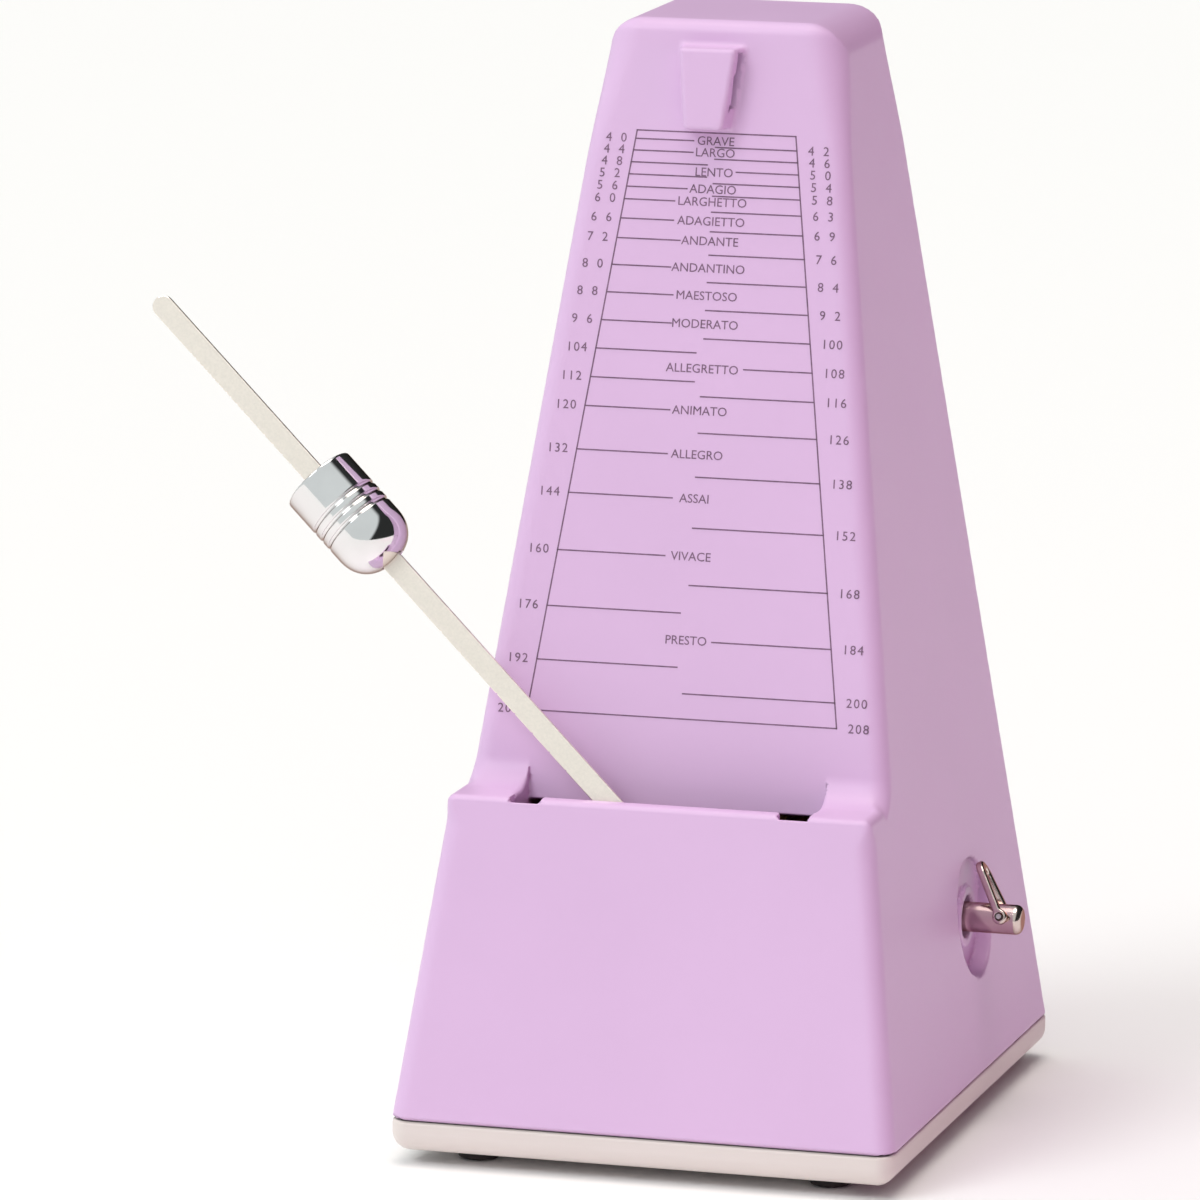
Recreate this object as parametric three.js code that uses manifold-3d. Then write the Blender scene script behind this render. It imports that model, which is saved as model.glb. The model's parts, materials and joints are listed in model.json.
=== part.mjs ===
// Wind-up pendulum metronome: a tapered plastic case on a base plate, a clockwork movement
// between two metal plates, an inverted pendulum with a sliding weight, and a folding key.
// Millimetres, +Z up, the dial faces -Y and the key is on +X.
// The origin is the centre of the base plate's underside.
import * as THREE from 'three';
import { mergeVertices } from 'three/addons/utils/BufferGeometryUtils.js';
import Module from 'manifold-3d';

const wasm = await Module();
wasm.setup();

// ---- Driving dimensions -------------------------------------------------------------------
const GAP = 0.3;                  // free space between pieces that touch

const CASE_WIDTH = 104;           // at the seam with the base plate
const CASE_DEPTH = 127;
const CASE_CORNER = 3.8;          // radius of the upright edges
const CASE_WALL = 2.4;
const CASE_TOP = 221.7;
const SIDE_SLOPE = 0.131;         // how far each face leans in for each mm of height
const FRONT_SLOPE = 0.212;
const BACK_SLOPE = 0.149;
const TILT = Math.atan(FRONT_SLOPE);
const TOP_ROUND = { x: 6.5, y: 3, z: 5.2 };
const BLOCK_INSET = 0.05;         // the upper block stands this far inside the lower one

const BASE_HEIGHT = 6.5;
const BASE_FLOOR = 2.6;
const BASE_EDGE = { inset: 3.8, height: 4.2 };
const SEAM = BASE_HEIGHT + GAP;

const SHELF = SEAM + 64;          // top of the front block
const STEP = 13.5;                // the dial stands this far behind the front block
const WELL = { halfWidth: 30.8, cheek: 2.4, depth: 6, frontWall: 3.5 };
const TAB_NOTCH = { inner: 24.5, depth: 2.5, height: 3 };

const LATCH = {
  x: -1.6, bottom: SEAM + 194, top: SEAM + 210, halfBottom: 3.9, halfTop: 5.8, proud: 4.8,
};
const LATCH_GAP = { from: 0.6, width: 2, wall: 2.2, foot: 4.1, roof: 1.2 };

const FOOT = { x: 36.5, y: 51.5, radius: 4.65, stub: 1, pad: 1.2 };
const CASE_SCREW = { x: 44, y: 55, head: 2.8, shank: 1.4, length: 18, boss: 4.2, bossHeight: 24 };

const PLATE_X = 17;               // inner faces of the movement plates
const PLATE_THICKNESS = 1.2;
const FLANGE = { z: 5.3, width: 10, halfLength: 26, screwX: 22.5, screwY: 20 };
const PILLARS = [[-30, 12], [31, 12], [31, 57], [-4, 60]];

const BARREL = { y: 15.5, z: 37.3, radius: 19, left: -6.2, right: 8, wall: 1 };
const GREAT_WHEEL = { teeth: 60, module: 0.7, left: -8.5, width: 2 };
const SECOND_PINION = { teeth: 10, module: 0.7, left: -9.2, width: 2.9 };
const SECOND_WHEEL = { teeth: 48, module: 0.6, left: -13, width: 1.5 };
const ESCAPE_PINION = { teeth: 8, module: 0.6, left: -14, width: 4 };
const ESCAPE_WHEEL = { teeth: 15, radius: 10, root: 8.2, width: 1.5 };
const SECOND_RISE = 11;           // degrees: the second arbor seen from the barrel
const ESCAPE_RISE = -3.8;         // degrees: the escape arbor seen from the second arbor

const WINDING = { end: 58.2, radius: 3.05, pinX: 54.4 };
const RATCHET = { teeth: 18, radius: 8, root: 6.9, left: 18.6, width: 1.5 };
const CLICK = { radius: 14, angle: 60, noseRadius: 8.5, noseAngle: 100, body: 2.6, spread: 80 };
const RECESS = { radius: 12.2, floorX: 45.6, hole: 4.3, wall: 2.4 };
const COLLAR = { radius: 6.4, height: 1 };
const BAIL = {
  length: 12.9, halfWidth: 5.1, leg: 1.7, shoulder: 2.4, crown: 3.5, thickness: 1.6, eye: 1.5, lean: 29,
};
const KEY_TURN = 18;               // degrees: how far the winding shaft stands turned
const KEY_PIN = { radius: 0.55, halfLength: 5.6 };

const PIVOT_Z = SEAM + 52.9;
const ROD_OFFSET = 8.8;           // from the dial forward to the rod, along Y
const SWING = 46.7;               // degrees to the left of upright, where the rod rests
const ROD = { length: 155, tail: 30, width: 4.4, thickness: 1, tailPad: 4.2 };
const WEIGHT = { bottom: 81.7, length: 22.8, radius: 7.85, dome: 7.5, grooves: [10.4, 12.6, 14.8] };
const COUNTERWEIGHT = { radius: 11, front: 0.8, thickness: 10 };
const ARBOR = { radius: 1.1, end: 34.5, hole: 1.4 };
const COCKS = { front: 12.5, rear: 32, thickness: 1.6, reach: 16.4, tabReach: 18.9 };
const FRONT_TAB = [-3, 1];
const REAR_TAB = [-2, 2];
const PALLETS = { front: 19.3, rear: 26.3, radius: 3.5, width: 1.6 };

const TEMPOS = [40, 42, 44, 46, 48, 50, 52, 54, 56, 58, 60, 63, 66, 69, 72, 76, 80, 84, 88, 92, 96,
  100, 104, 108, 112, 116, 120, 126, 132, 138, 144, 152, 160, 168, 176, 184, 192, 200, 208];
const SCALE = { top: SEAM + 191.3, bottom: SEAM + 78.6, curve: 1.07 };
const ROD_NOTCH = 0.4;

// ---- Places worked out from the dimensions ------------------------------------------------
const radians = THREE.MathUtils.degToRad;
const frontY = (z) => -CASE_DEPTH / 2 + FRONT_SLOPE * (z - SEAM);
const dialY = (z) => frontY(z) + STEP;
const backY = (z) => CASE_DEPTH / 2 - BACK_SLOPE * (z - SEAM);
const sideX = (z) => CASE_WIDTH / 2 - SIDE_SLOPE * (z - SEAM);
const PIVOT = new THREE.Vector3(0, dialY(PIVOT_Z) - ROD_OFFSET, PIVOT_Z);

// A point of the YZ plane at a distance and angle from another one.
function polar(centre, distance, degrees) {
  const angle = radians(degrees);
  return { y: centre.y + distance * Math.cos(angle), z: centre.z + distance * Math.sin(angle) };
}

const pitchRadius = (gear) => gear.teeth * gear.module / 2;
const SECOND = polar(BARREL, pitchRadius(GREAT_WHEEL) + pitchRadius(SECOND_PINION), 180 - SECOND_RISE);
const ESCAPE = polar(SECOND, pitchRadius(SECOND_WHEEL) + pitchRadius(ESCAPE_PINION), 180 - ESCAPE_RISE);

// ---- Materials ----------------------------------------------------------------------------
const finish = (color, roughness, metalness) => () => (
  new THREE.MeshStandardMaterial({ color, roughness, metalness })
);
const lilacPlastic = finish(0xdcbce2, 0.38, 0);
const creamPlastic = finish(0xe9d9d3, 0.45, 0);
const darkRubber = finish(0x2b2828, 0.9, 0);
const brass = finish(0xc9a45c, 0.35, 1);
const steel = finish(0xb9b7b2, 0.4, 1);
const blackSteel = finish(0x4a4846, 0.5, 1);
const chrome = finish(0xd8d6d4, 0.12, 1);
const rodSteel = finish(0xdccfb4, 0.35, 1);

// ---- Solids -------------------------------------------------------------------------------
function toSolid(geometry) {
  geometry.deleteAttribute('normal');
  geometry.deleteAttribute('uv');
  const merged = mergeVertices(geometry, 1e-5);
  return new wasm.Manifold(new wasm.Mesh({
    numProp: 3,
    vertProperties: new Float32Array(merged.attributes.position.array),
    triVerts: new Uint32Array(merged.index.array),
  }));
}

function toGeometry(solid) {
  const mesh = solid.getMesh();
  const geometry = new THREE.BufferGeometry();
  geometry.setAttribute('position', new THREE.BufferAttribute(mesh.vertProperties, 3));
  geometry.setIndex(new THREE.BufferAttribute(mesh.triVerts, 1));
  return geometry;
}

const joined = (geometries) => geometries.map(toSolid).reduce((all, solid) => all.add(solid));
const combine = (...geometries) => toGeometry(joined(geometries));
const cut = (geometry, ...cutters) => toGeometry(toSolid(geometry).subtract(joined(cutters)));

// ---- Geometry helpers ---------------------------------------------------------------------
const YZ_TO_X = new THREE.Matrix4().makeBasis(
  new THREE.Vector3(0, 1, 0), new THREE.Vector3(0, 0, 1), new THREE.Vector3(1, 0, 0),
);
const XZ_TO_BACK = new THREE.Matrix4().makeRotationX(Math.PI / 2);

function box(x, y, z) {
  const geometry = new THREE.BoxGeometry(x[1] - x[0], y[1] - y[0], z[1] - z[0]);
  return geometry.translate((x[0] + x[1]) / 2, (y[0] + y[1]) / 2, (z[0] + z[1]) / 2);
}

function barX(radius, x0, x1, place, sides = 20) {
  const geometry = new THREE.CylinderGeometry(radius, radius, x1 - x0, sides);
  return geometry.rotateZ(Math.PI / 2).translate((x0 + x1) / 2, place.y, place.z);
}

function barY(radius, y0, y1, sides = 12) {
  const geometry = new THREE.CylinderGeometry(radius, radius, y1 - y0, sides);
  return geometry.translate(0, (y0 + y1) / 2, 0);
}

function barZ(radius, z0, z1, x, y, sides = 14) {
  const geometry = new THREE.CylinderGeometry(radius, radius, z1 - z0, sides);
  return geometry.rotateX(Math.PI / 2).translate(x, y, (z0 + z1) / 2);
}

// A shape drawn in the YZ plane, extruded along X.
function plateX(shape, x0, x1) {
  const settings = { depth: x1 - x0, bevelEnabled: false, curveSegments: 7 };
  return new THREE.ExtrudeGeometry(shape, settings).applyMatrix4(YZ_TO_X).translate(x0, 0, 0);
}

// A shape drawn in the XZ plane, extruded towards +Y from y0 to y1.
function plateY(shape, y0, y1) {
  const settings = { depth: y1 - y0, bevelEnabled: false, curveSegments: 8 };
  return new THREE.ExtrudeGeometry(shape, settings).applyMatrix4(XZ_TO_BACK).translate(0, y1, 0);
}

const polygon = (points) => new THREE.Shape(points.map(([a, b]) => new THREE.Vector2(a, b)));

// A turned piece: the profile holds [along, radius] pairs, from one end of its axis to the other.
function turned(profile, sides = 20) {
  const points = profile.map(([along, radius]) => new THREE.Vector2(radius, along));
  return new THREE.LatheGeometry(points, sides);
}

const turnedX = (profile, place, sides) => (
  turned(profile, sides).rotateZ(-Math.PI / 2).translate(0, place.y, place.z)
);

function addHole(shape, radius, a = 0, b = 0) {
  const hole = new THREE.Path();
  hole.absarc(a, b, radius, 0, 2 * Math.PI, true);
  shape.holes.push(hole);
  return shape;
}

// A body whose rounded rectangular section changes from level to level.
// Each level gives z, halfX, front and back; the corner radius stays the same.
function levelBody(levels, corner) {
  const core = 10;
  const shape = new THREE.Shape();
  shape.absarc(core, core, corner, 0, Math.PI / 2);
  shape.absarc(-core, core, corner, Math.PI / 2, Math.PI);
  shape.absarc(-core, -core, corner, Math.PI, 1.5 * Math.PI);
  shape.absarc(core, -core, corner, 1.5 * Math.PI, 2 * Math.PI);
  const steps = levels.length - 1;
  const settings = { depth: steps, steps, bevelEnabled: false, curveSegments: 3 };
  const geometry = new THREE.ExtrudeGeometry(shape, settings);
  const position = geometry.attributes.position;
  for (let index = 0; index < position.count; index += 1) {
    const level = levels[Math.round(position.getZ(index))];
    const x = position.getX(index);
    const y = position.getY(index);
    const fromEdge = core + corner;
    const newX = Math.sign(x) * (level.halfX - fromEdge + Math.abs(x));
    const newY = y > 0 ? level.back - fromEdge + y : level.front + fromEdge + y;
    position.setXYZ(index, newX, newY, level.z);
  }
  return geometry;
}

// ---- Case and base ------------------------------------------------------------------------
function caseLevel(z, front, inset) {
  return { z, halfX: sideX(z) - inset, front: front(z) + inset, back: backY(z) - inset };
}

function upperBlock() {
  const levels = [caseLevel(SHELF - 4, dialY, BLOCK_INSET)];
  const steps = 5;
  for (let step = 0; step <= steps; step += 1) {
    const angle = (step / steps) * Math.PI / 2;
    const level = caseLevel(CASE_TOP - TOP_ROUND.z * (1 - Math.sin(angle)), dialY, BLOCK_INSET);
    level.halfX -= TOP_ROUND.x * (1 - Math.cos(angle));
    level.front += TOP_ROUND.y * (1 - Math.cos(angle));
    level.back -= TOP_ROUND.y * (1 - Math.cos(angle));
    levels.push(level);
  }
  return levelBody(levels, CASE_CORNER);
}

function caseHollow() {
  const lower = [caseLevel(SEAM - 1, frontY, CASE_WALL), caseLevel(SHELF - CASE_WALL, frontY, CASE_WALL)];
  const inset = CASE_WALL + BLOCK_INSET;
  const upper = [
    caseLevel(SHELF - 12, dialY, inset),
    caseLevel(CASE_TOP - TOP_ROUND.z - 2, dialY, inset),
    caseLevel(CASE_TOP - CASE_WALL, dialY, inset + TOP_ROUND.z),
  ];
  return joined([levelBody(lower, CASE_CORNER - CASE_WALL), levelBody(upper, CASE_CORNER - CASE_WALL)]);
}

// Parallel to the dial: between two distances from the front face, from z0 up to z1.
function slopedBar(x, from, to, z0, z1) {
  const outline = polygon([
    [frontY(z0) + from, z0], [frontY(z0) + to, z0], [frontY(z1) + to, z1], [frontY(z1) + from, z1],
  ]);
  return plateX(outline, x[0], x[1]);
}

// The solid places inside the case: the slot's walls, the key recess and the screw bosses.
function caseBosses() {
  const reach = WELL.halfWidth + WELL.cheek;
  const bosses = [
    slopedBar([-reach, reach], CASE_WALL / 2, STEP + CASE_WALL * 0.9, SHELF - WELL.depth, SHELF + 3),
    barX(RECESS.radius + RECESS.wall, RECESS.floorX - RECESS.wall, CASE_WIDTH, BARREL, 24),
  ];
  for (const side of [-1, 1]) {
    for (const end of [-1, 1]) {
      const top = SEAM + CASE_SCREW.bossHeight;
      bosses.push(barZ(CASE_SCREW.boss, SEAM + 0.6, top, side * CASE_SCREW.x, end * CASE_SCREW.y));
    }
  }
  return joined(bosses);
}

function caseCuts() {
  const open = WELL.halfWidth;
  const cuts = [
    slopedBar([-open, open], WELL.frontWall, STEP - 0.1, SHELF - 2 * WELL.depth, SHELF + 2),
    cut(
      barX(RECESS.radius, RECESS.floorX, CASE_WIDTH, BARREL, 32),
      barX(COLLAR.radius, RECESS.floorX - 1, RECESS.floorX + COLLAR.height, BARREL),
    ),
    barX(RECESS.hole, RECESS.floorX - 5, CASE_WIDTH, BARREL),
  ];
  for (const side of [-1, 1]) {
    const notch = [side * TAB_NOTCH.inner, side * (open - 0.1)].sort((a, b) => a - b);
    const from = WELL.frontWall - TAB_NOTCH.depth;
    cuts.push(slopedBar(notch, from, WELL.frontWall + 1, SHELF - TAB_NOTCH.height, SHELF + 2));
    for (const end of [-1, 1]) {
      const top = SEAM + CASE_SCREW.length;
      cuts.push(barZ(CASE_SCREW.shank + 0.35, 0, top, side * CASE_SCREW.x, end * CASE_SCREW.y));
    }
  }
  return joined(cuts);
}

// The latch that parks the rod: a tapered block whose groove, open to the right, takes the rod's edge.
function latch() {
  const { bottom, top, halfBottom, halfTop, proud } = LATCH;
  const outline = polygon([[-halfBottom, bottom], [halfBottom, bottom], [halfTop, top], [-halfTop, top]]);
  const block = plateY(outline, -proud, 1);
  const gap = box(
    [LATCH_GAP.wall - halfTop, halfTop + 1],
    [-LATCH_GAP.from - LATCH_GAP.width, -LATCH_GAP.from],
    [bottom + LATCH_GAP.foot, top - LATCH_GAP.roof],
  );
  const geometry = cut(block, gap).translate(LATCH.x, 0, 0);
  const position = geometry.attributes.position;
  for (let index = 0; index < position.count; index += 1) {
    position.setY(index, position.getY(index) + dialY(position.getZ(index)));
  }
  return geometry;
}

function caseShell() {
  const lower = levelBody([caseLevel(SEAM, frontY, 0), caseLevel(SHELF, frontY, 0)], CASE_CORNER);
  const hollow = caseHollow().subtract(caseBosses());
  const shell = joined([lower, upperBlock(), latch()]).subtract(hollow);
  return toGeometry(shell.subtract(caseCuts()));
}

function basePlate() {
  const levels = [];
  const steps = 4;
  for (let step = 0; step <= steps; step += 1) {
    const angle = (step / steps) * Math.PI / 2;
    const inset = BASE_EDGE.inset * (1 - Math.sin(angle));
    levels.push(caseLevel(BASE_EDGE.height * (1 - Math.cos(angle)), () => frontY(SEAM), inset));
  }
  levels.push(caseLevel(BASE_HEIGHT, () => frontY(SEAM), 0));
  for (const level of levels) {
    level.halfX += sideX(SEAM) - sideX(level.z);
    level.back += backY(SEAM) - backY(level.z);
  }
  const rim = { halfX: CASE_WIDTH / 2 - 3.6, front: 3.6 - CASE_DEPTH / 2, back: CASE_DEPTH / 2 - 3.6 };
  const tray = levelBody([{ z: BASE_FLOOR, ...rim }, { z: BASE_HEIGHT + 1, ...rim }], 2);
  const posts = [];
  const additions = [];
  const cuts = [];
  for (const side of [-1, 1]) {
    for (const end of [-1, 1]) {
      const screw = [side * CASE_SCREW.x, end * CASE_SCREW.y];
      posts.push(barZ(5.4, 0, BASE_HEIGHT + 2, ...screw));
      posts.push(barZ(4, 0, FLANGE.z - GAP, side * FLANGE.screwX, end * FLANGE.screwY));
      additions.push(barZ(FOOT.radius, -FOOT.stub, 1, side * FOOT.x, end * FOOT.y, 24));
      cuts.push(barZ(CASE_SCREW.head + 0.4, -1, 2.2, ...screw));
      cuts.push(barZ(CASE_SCREW.shank + 0.35, -1, BASE_HEIGHT + 1, ...screw));
      cuts.push(barZ(1.5, 0.8, BASE_HEIGHT, side * FLANGE.screwX, end * FLANGE.screwY));
    }
  }
  const body = joined([levelBody(levels, CASE_CORNER), ...additions]);
  return toGeometry(body.subtract(toSolid(tray).subtract(joined(posts))).subtract(joined(cuts)));
}

function footPad() {
  const top = -FOOT.stub - GAP;
  const bottom = top - FOOT.pad;
  const profile = [[bottom, 0], [bottom, 3.9], [bottom + 0.35, 4.3], [top, 4.3], [top, 0]];
  return turned(profile, 24).rotateX(Math.PI / 2);
}

function crossHeadScrew(headRadius, headBottom, headTop, shank, end) {
  const depth = Math.abs(headTop - headBottom) * 0.5;
  const slots = [0, 1].map((turn) => (
    box([-headRadius * 0.6, headRadius * 0.6], [-0.3, 0.3], [headTop - depth, headTop + 1])
      .rotateZ(turn * Math.PI / 2)
  ));
  const body = combine(barZ(headRadius, headBottom, headTop, 0, 0), barZ(shank, end, headBottom + 0.2, 0, 0, 12));
  return cut(body, ...slots);
}

// ---- Movement frame -----------------------------------------------------------------------
// Everything in the pendulum's frame: local Y runs back along the pendulum arbor.
function inPendulumFrame(geometry) {
  return geometry.rotateX(-TILT).translate(PIVOT.x, PIVOT.y, PIVOT.z);
}

const cockTab = (distance, x, z, extra = 0) => inPendulumFrame(box(
  x,
  [distance - COCKS.thickness / 2 - extra, distance + COCKS.thickness / 2 + extra],
  [z[0] - extra, z[1] + extra],
));

function movementPlate(side) {
  const outline = polygon([[-38, FLANGE.z], [35, FLANGE.z], [35, 61], [2, 64], [-10, 64], [-38, 58]]);
  for (const [y, z] of PILLARS) {
    addHole(outline, 1.7, y, z);
  }
  addHole(outline, side < 0 ? 2.3 : 2.8, BARREL.y, BARREL.z);
  addHole(outline, 1.15, SECOND.y, SECOND.z);
  addHole(outline, 1.15, ESCAPE.y, ESCAPE.z);
  if (side > 0) {
    const click = polar(BARREL, CLICK.radius, CLICK.angle);
    addHole(outline, 1.3, click.y, click.z);
    addHole(outline, 1.3, 1, 51);
  }
  const inner = side * PLATE_X;
  const outer = side * (PLATE_X + PLATE_THICKNESS);
  const plate = plateX(outline, Math.min(inner, outer), Math.max(inner, outer));
  const edge = side * (PLATE_X + FLANGE.width);
  const middle = (inner + outer) / 2;
  const flange = box(
    [Math.min(middle, edge), Math.max(middle, edge)],
    [-FLANGE.halfLength, FLANGE.halfLength],
    [FLANGE.z + 0.01, FLANGE.z + PLATE_THICKNESS],
  );
  const slotX = [side > 0 ? PLATE_X - 1 : -PLATE_X - 3, side > 0 ? PLATE_X + 3 : 1 - PLATE_X];
  const cuts = [cockTab(COCKS.front, slotX, FRONT_TAB, GAP)];
  if (side > 0) {
    cuts.push(cockTab(COCKS.rear, slotX, REAR_TAB, GAP));
  }
  for (const end of [-1, 1]) {
    cuts.push(barZ(1.5, 0, 10, side * FLANGE.screwX, end * FLANGE.screwY));
  }
  return cut(combine(plate, flange), ...cuts);
}

// A pillar with shouldered ends, riveted over outside both plates.
function pillar([y, z]) {
  const inner = PLATE_X - GAP;
  const outer = PLATE_X + PLATE_THICKNESS + GAP;
  const half = [[inner, 2.5], [inner, 1.4], [outer, 1.4], [outer, 2.4], [outer + 1, 1.6], [outer + 1, 0]];
  const mirrored = half.map(([along, radius]) => [-along, radius]).reverse();
  return turnedX([...mirrored, ...half], { y, z }, 10);
}

function frontCock() {
  const body = cockTab(COCKS.front, [-COCKS.reach, COCKS.reach], [-7, 4]);
  const tabs = cockTab(COCKS.front, [-COCKS.tabReach, COCKS.tabReach], FRONT_TAB);
  return cut(combine(body, tabs), inPendulumFrame(barY(ARBOR.hole, 5, 20)));
}

function rearCock() {
  const body = cockTab(COCKS.rear, [-4, COCKS.reach], [-3.5, 4.5]);
  const tab = cockTab(COCKS.rear, [0, COCKS.tabReach], REAR_TAB);
  return cut(combine(body, tab), inPendulumFrame(barY(ARBOR.hole, 25, 40)));
}

// ---- Going train --------------------------------------------------------------------------
// Slim teeth with ample backlash. The phase, in degrees, is where one tooth's middle points.
function gearShape({ teeth, module }, phase, bore) {
  const radius = teeth * module / 2;
  const root = radius - 1.3 * module;
  const tip = radius + 0.8 * module;
  const corners = [[root, -0.22], [tip, -0.08], [tip, 0.08], [root, 0.22]];
  const points = [];
  for (let tooth = 0; tooth < teeth; tooth += 1) {
    for (const [distance, offset] of corners) {
      const angle = radians(phase) + (tooth + offset) * 2 * Math.PI / teeth;
      points.push([distance * Math.cos(angle), distance * Math.sin(angle)]);
    }
  }
  return addHole(polygon(points), bore);
}

// Saw teeth that lean one way.
function sawShape(teeth, tip, root, bore) {
  const points = [];
  for (let tooth = 0; tooth < teeth; tooth += 1) {
    for (const [distance, offset] of [[root, 0], [tip, 0.12], [tip, 0.22], [root, 0.75]]) {
      const angle = (tooth + offset) * 2 * Math.PI / teeth;
      points.push([distance * Math.cos(angle), distance * Math.sin(angle)]);
    }
  }
  return addHole(polygon(points), bore);
}

function crossings(shape, count, distance, radius) {
  for (let index = 0; index < count; index += 1) {
    const angle = (index + 0.5) * 2 * Math.PI / count;
    addHole(shape, radius, distance * Math.cos(angle), distance * Math.sin(angle));
  }
  return shape;
}

const wheel = (shape, { left, width }, place) => (
  plateX(shape, left, left + width).translate(0, place.y, place.z)
);

function arbor(place) {
  const reach = PLATE_X + PLATE_THICKNESS + 0.6;
  const shoulder = PLATE_X - 0.5;
  const profile = [
    [-reach, 0], [-reach, 0.8], [-shoulder, 0.8], [-shoulder, ARBOR.radius],
    [shoulder, ARBOR.radius], [shoulder, 0.8], [reach, 0.8], [reach, 0],
  ];
  return turnedX(profile, place, 10);
}

function barrelDrum() {
  const { left, right, radius, wall } = BARREL;
  const profile = [
    [left, 3.4], [left, radius], [right, radius], [right, radius - wall],
    [left + wall, radius - wall], [left + wall, 3.4], [left, 3.4],
  ];
  return turnedX(profile, BARREL, 32);
}

function barrelCover() {
  const left = BARREL.right + GAP;
  const profile = [[left, 3.4], [left, 18.6], [left + 1, 18.6], [left + 1, 3.4], [left, 3.4]];
  return turnedX(profile, BARREL, 32);
}

// A coiled strip of five turns, from the winding arbor out to the drum.
function mainspring() {
  const turns = 5;
  const steps = turns * 14;
  const inner = [];
  const outer = [];
  for (let step = 0; step <= steps; step += 1) {
    const angle = (step / steps) * turns * 2 * Math.PI;
    const radius = 4.2 + (step / steps) * 12.4;
    inner.push([radius * Math.cos(angle), radius * Math.sin(angle)]);
    outer.push([(radius + 0.5) * Math.cos(angle), (radius + 0.5) * Math.sin(angle)]);
  }
  const strip = polygon([...outer, ...inner.reverse()]);
  return wheel(strip, { left: BARREL.left + 2, width: 11.4 }, BARREL);
}

// ---- Winding ------------------------------------------------------------------------------
// Places what is drawn round the cross pin's middle, turned as the winding shaft is.
function onShaft(geometry) {
  return geometry.rotateX(-radians(KEY_TURN)).translate(WINDING.pinX, BARREL.y, BARREL.z);
}

function windingArbor() {
  const { end, radius } = WINDING;
  const profile = [
    [-19.5, 0], [-19.5, 2], [-10, 2], [-10, 3], [10.5, 3], [10.5, 2.5], [20.6, 2.5], [20.6, radius],
    [end - 1.6, radius], [end - 0.7, radius - 0.4], [end - 0.15, radius - 1.3], [end, 0],
  ];
  const shaft = turnedX(profile, BARREL, 24);
  return cut(shaft, onShaft(barY(KEY_PIN.radius + GAP, -5, 5)));
}

function click() {
  const pivot = polar(BARREL, CLICK.radius, CLICK.angle);
  const nose = polar(BARREL, CLICK.noseRadius, CLICK.noseAngle);
  const towards = Math.atan2(nose.z - pivot.z, nose.y - pivot.y);
  const spread = radians(CLICK.spread);
  const outline = new THREE.Shape();
  outline.absarc(pivot.y, pivot.z, CLICK.body, towards + spread, towards - spread + 2 * Math.PI);
  outline.lineTo(nose.y, nose.z);
  addHole(outline, 1.3, pivot.y, pivot.z);
  return plateX(outline, RATCHET.left, RATCHET.left + 1.4);
}

function clickScrew() {
  const pivot = polar(BARREL, CLICK.radius, CLICK.angle);
  const head = RATCHET.left + 1.4 + GAP;
  return turnedX([[16, 0], [16, 1], [head, 1], [head, 2.1], [head + 1, 1.8], [head + 1, 0]], pivot, 12);
}

// A leaf that presses the click in, on a stud riveted through the right plate.
function clickSpring() {
  const leaf = polygon([[0, 50.3], [7, 52.4], [13.5, 50.4], [13.7, 51], [7, 53.2], [0, 51.7]]);
  const stud = barX(1, 16, RATCHET.left + 1, { y: 1, z: 51 }, 12);
  return combine(plateX(leaf, RATCHET.left, RATCHET.left + 1.2), stud);
}

// The folding key: a flat loop, narrower at its crown, whose two eyes hang on the cross pin.
function keyBail() {
  const { length, halfWidth, leg, shoulder, crown, thickness, eye } = BAIL;
  const inside = halfWidth - leg;
  const arcCentre = length - crown;
  const outline = new THREE.Shape();
  outline.moveTo(halfWidth, 0);
  outline.lineTo(halfWidth, shoulder);
  outline.absarc(0, arcCentre, crown, 0, Math.PI);
  outline.lineTo(-halfWidth, shoulder);
  outline.lineTo(-halfWidth, 0);
  outline.lineTo(-inside, 0);
  outline.lineTo(-inside, shoulder);
  outline.absarc(0, arcCentre, crown - leg, Math.PI, 0, true);
  outline.lineTo(inside, shoulder);
  outline.lineTo(inside, 0);
  const settings = { depth: thickness, bevelEnabled: false, curveSegments: 10 };
  const loop = new THREE.ExtrudeGeometry(outline, settings).translate(0, 0, -thickness / 2);
  const pinAxis = { y: 0, z: 0 };
  const eyes = [[inside, halfWidth], [-halfWidth, -inside]].map(([from, to]) => barX(eye, from, to, pinAxis, 16));
  const hole = barX(KEY_PIN.radius + GAP, -10, 10, pinAxis);
  const geometry = toGeometry(joined([loop, ...eyes]).subtract(toSolid(hole)));
  // Local X runs along the pin, local Y along the loop: stand it up and lean it to the case.
  return onShaft(geometry.rotateX(Math.PI / 2).rotateZ(Math.PI / 2).rotateY(-radians(BAIL.lean)));
}

function keyPin() {
  return onShaft(barY(KEY_PIN.radius, -KEY_PIN.halfLength, KEY_PIN.halfLength));
}

// ---- Pendulum, drawn upright in its own frame: local Z along the rod, local Y backwards ----
const tempoFraction = (tempo) => ((tempo - TEMPOS[0]) / (TEMPOS.at(-1) - TEMPOS[0])) ** SCALE.curve;

function rodNotches() {
  const height = (SCALE.top - SCALE.bottom) / Math.cos(TILT);
  const top = (SCALE.top - PIVOT.z) / Math.cos(TILT);
  return TEMPOS.map((tempo) => top - height * tempoFraction(tempo));
}

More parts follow.
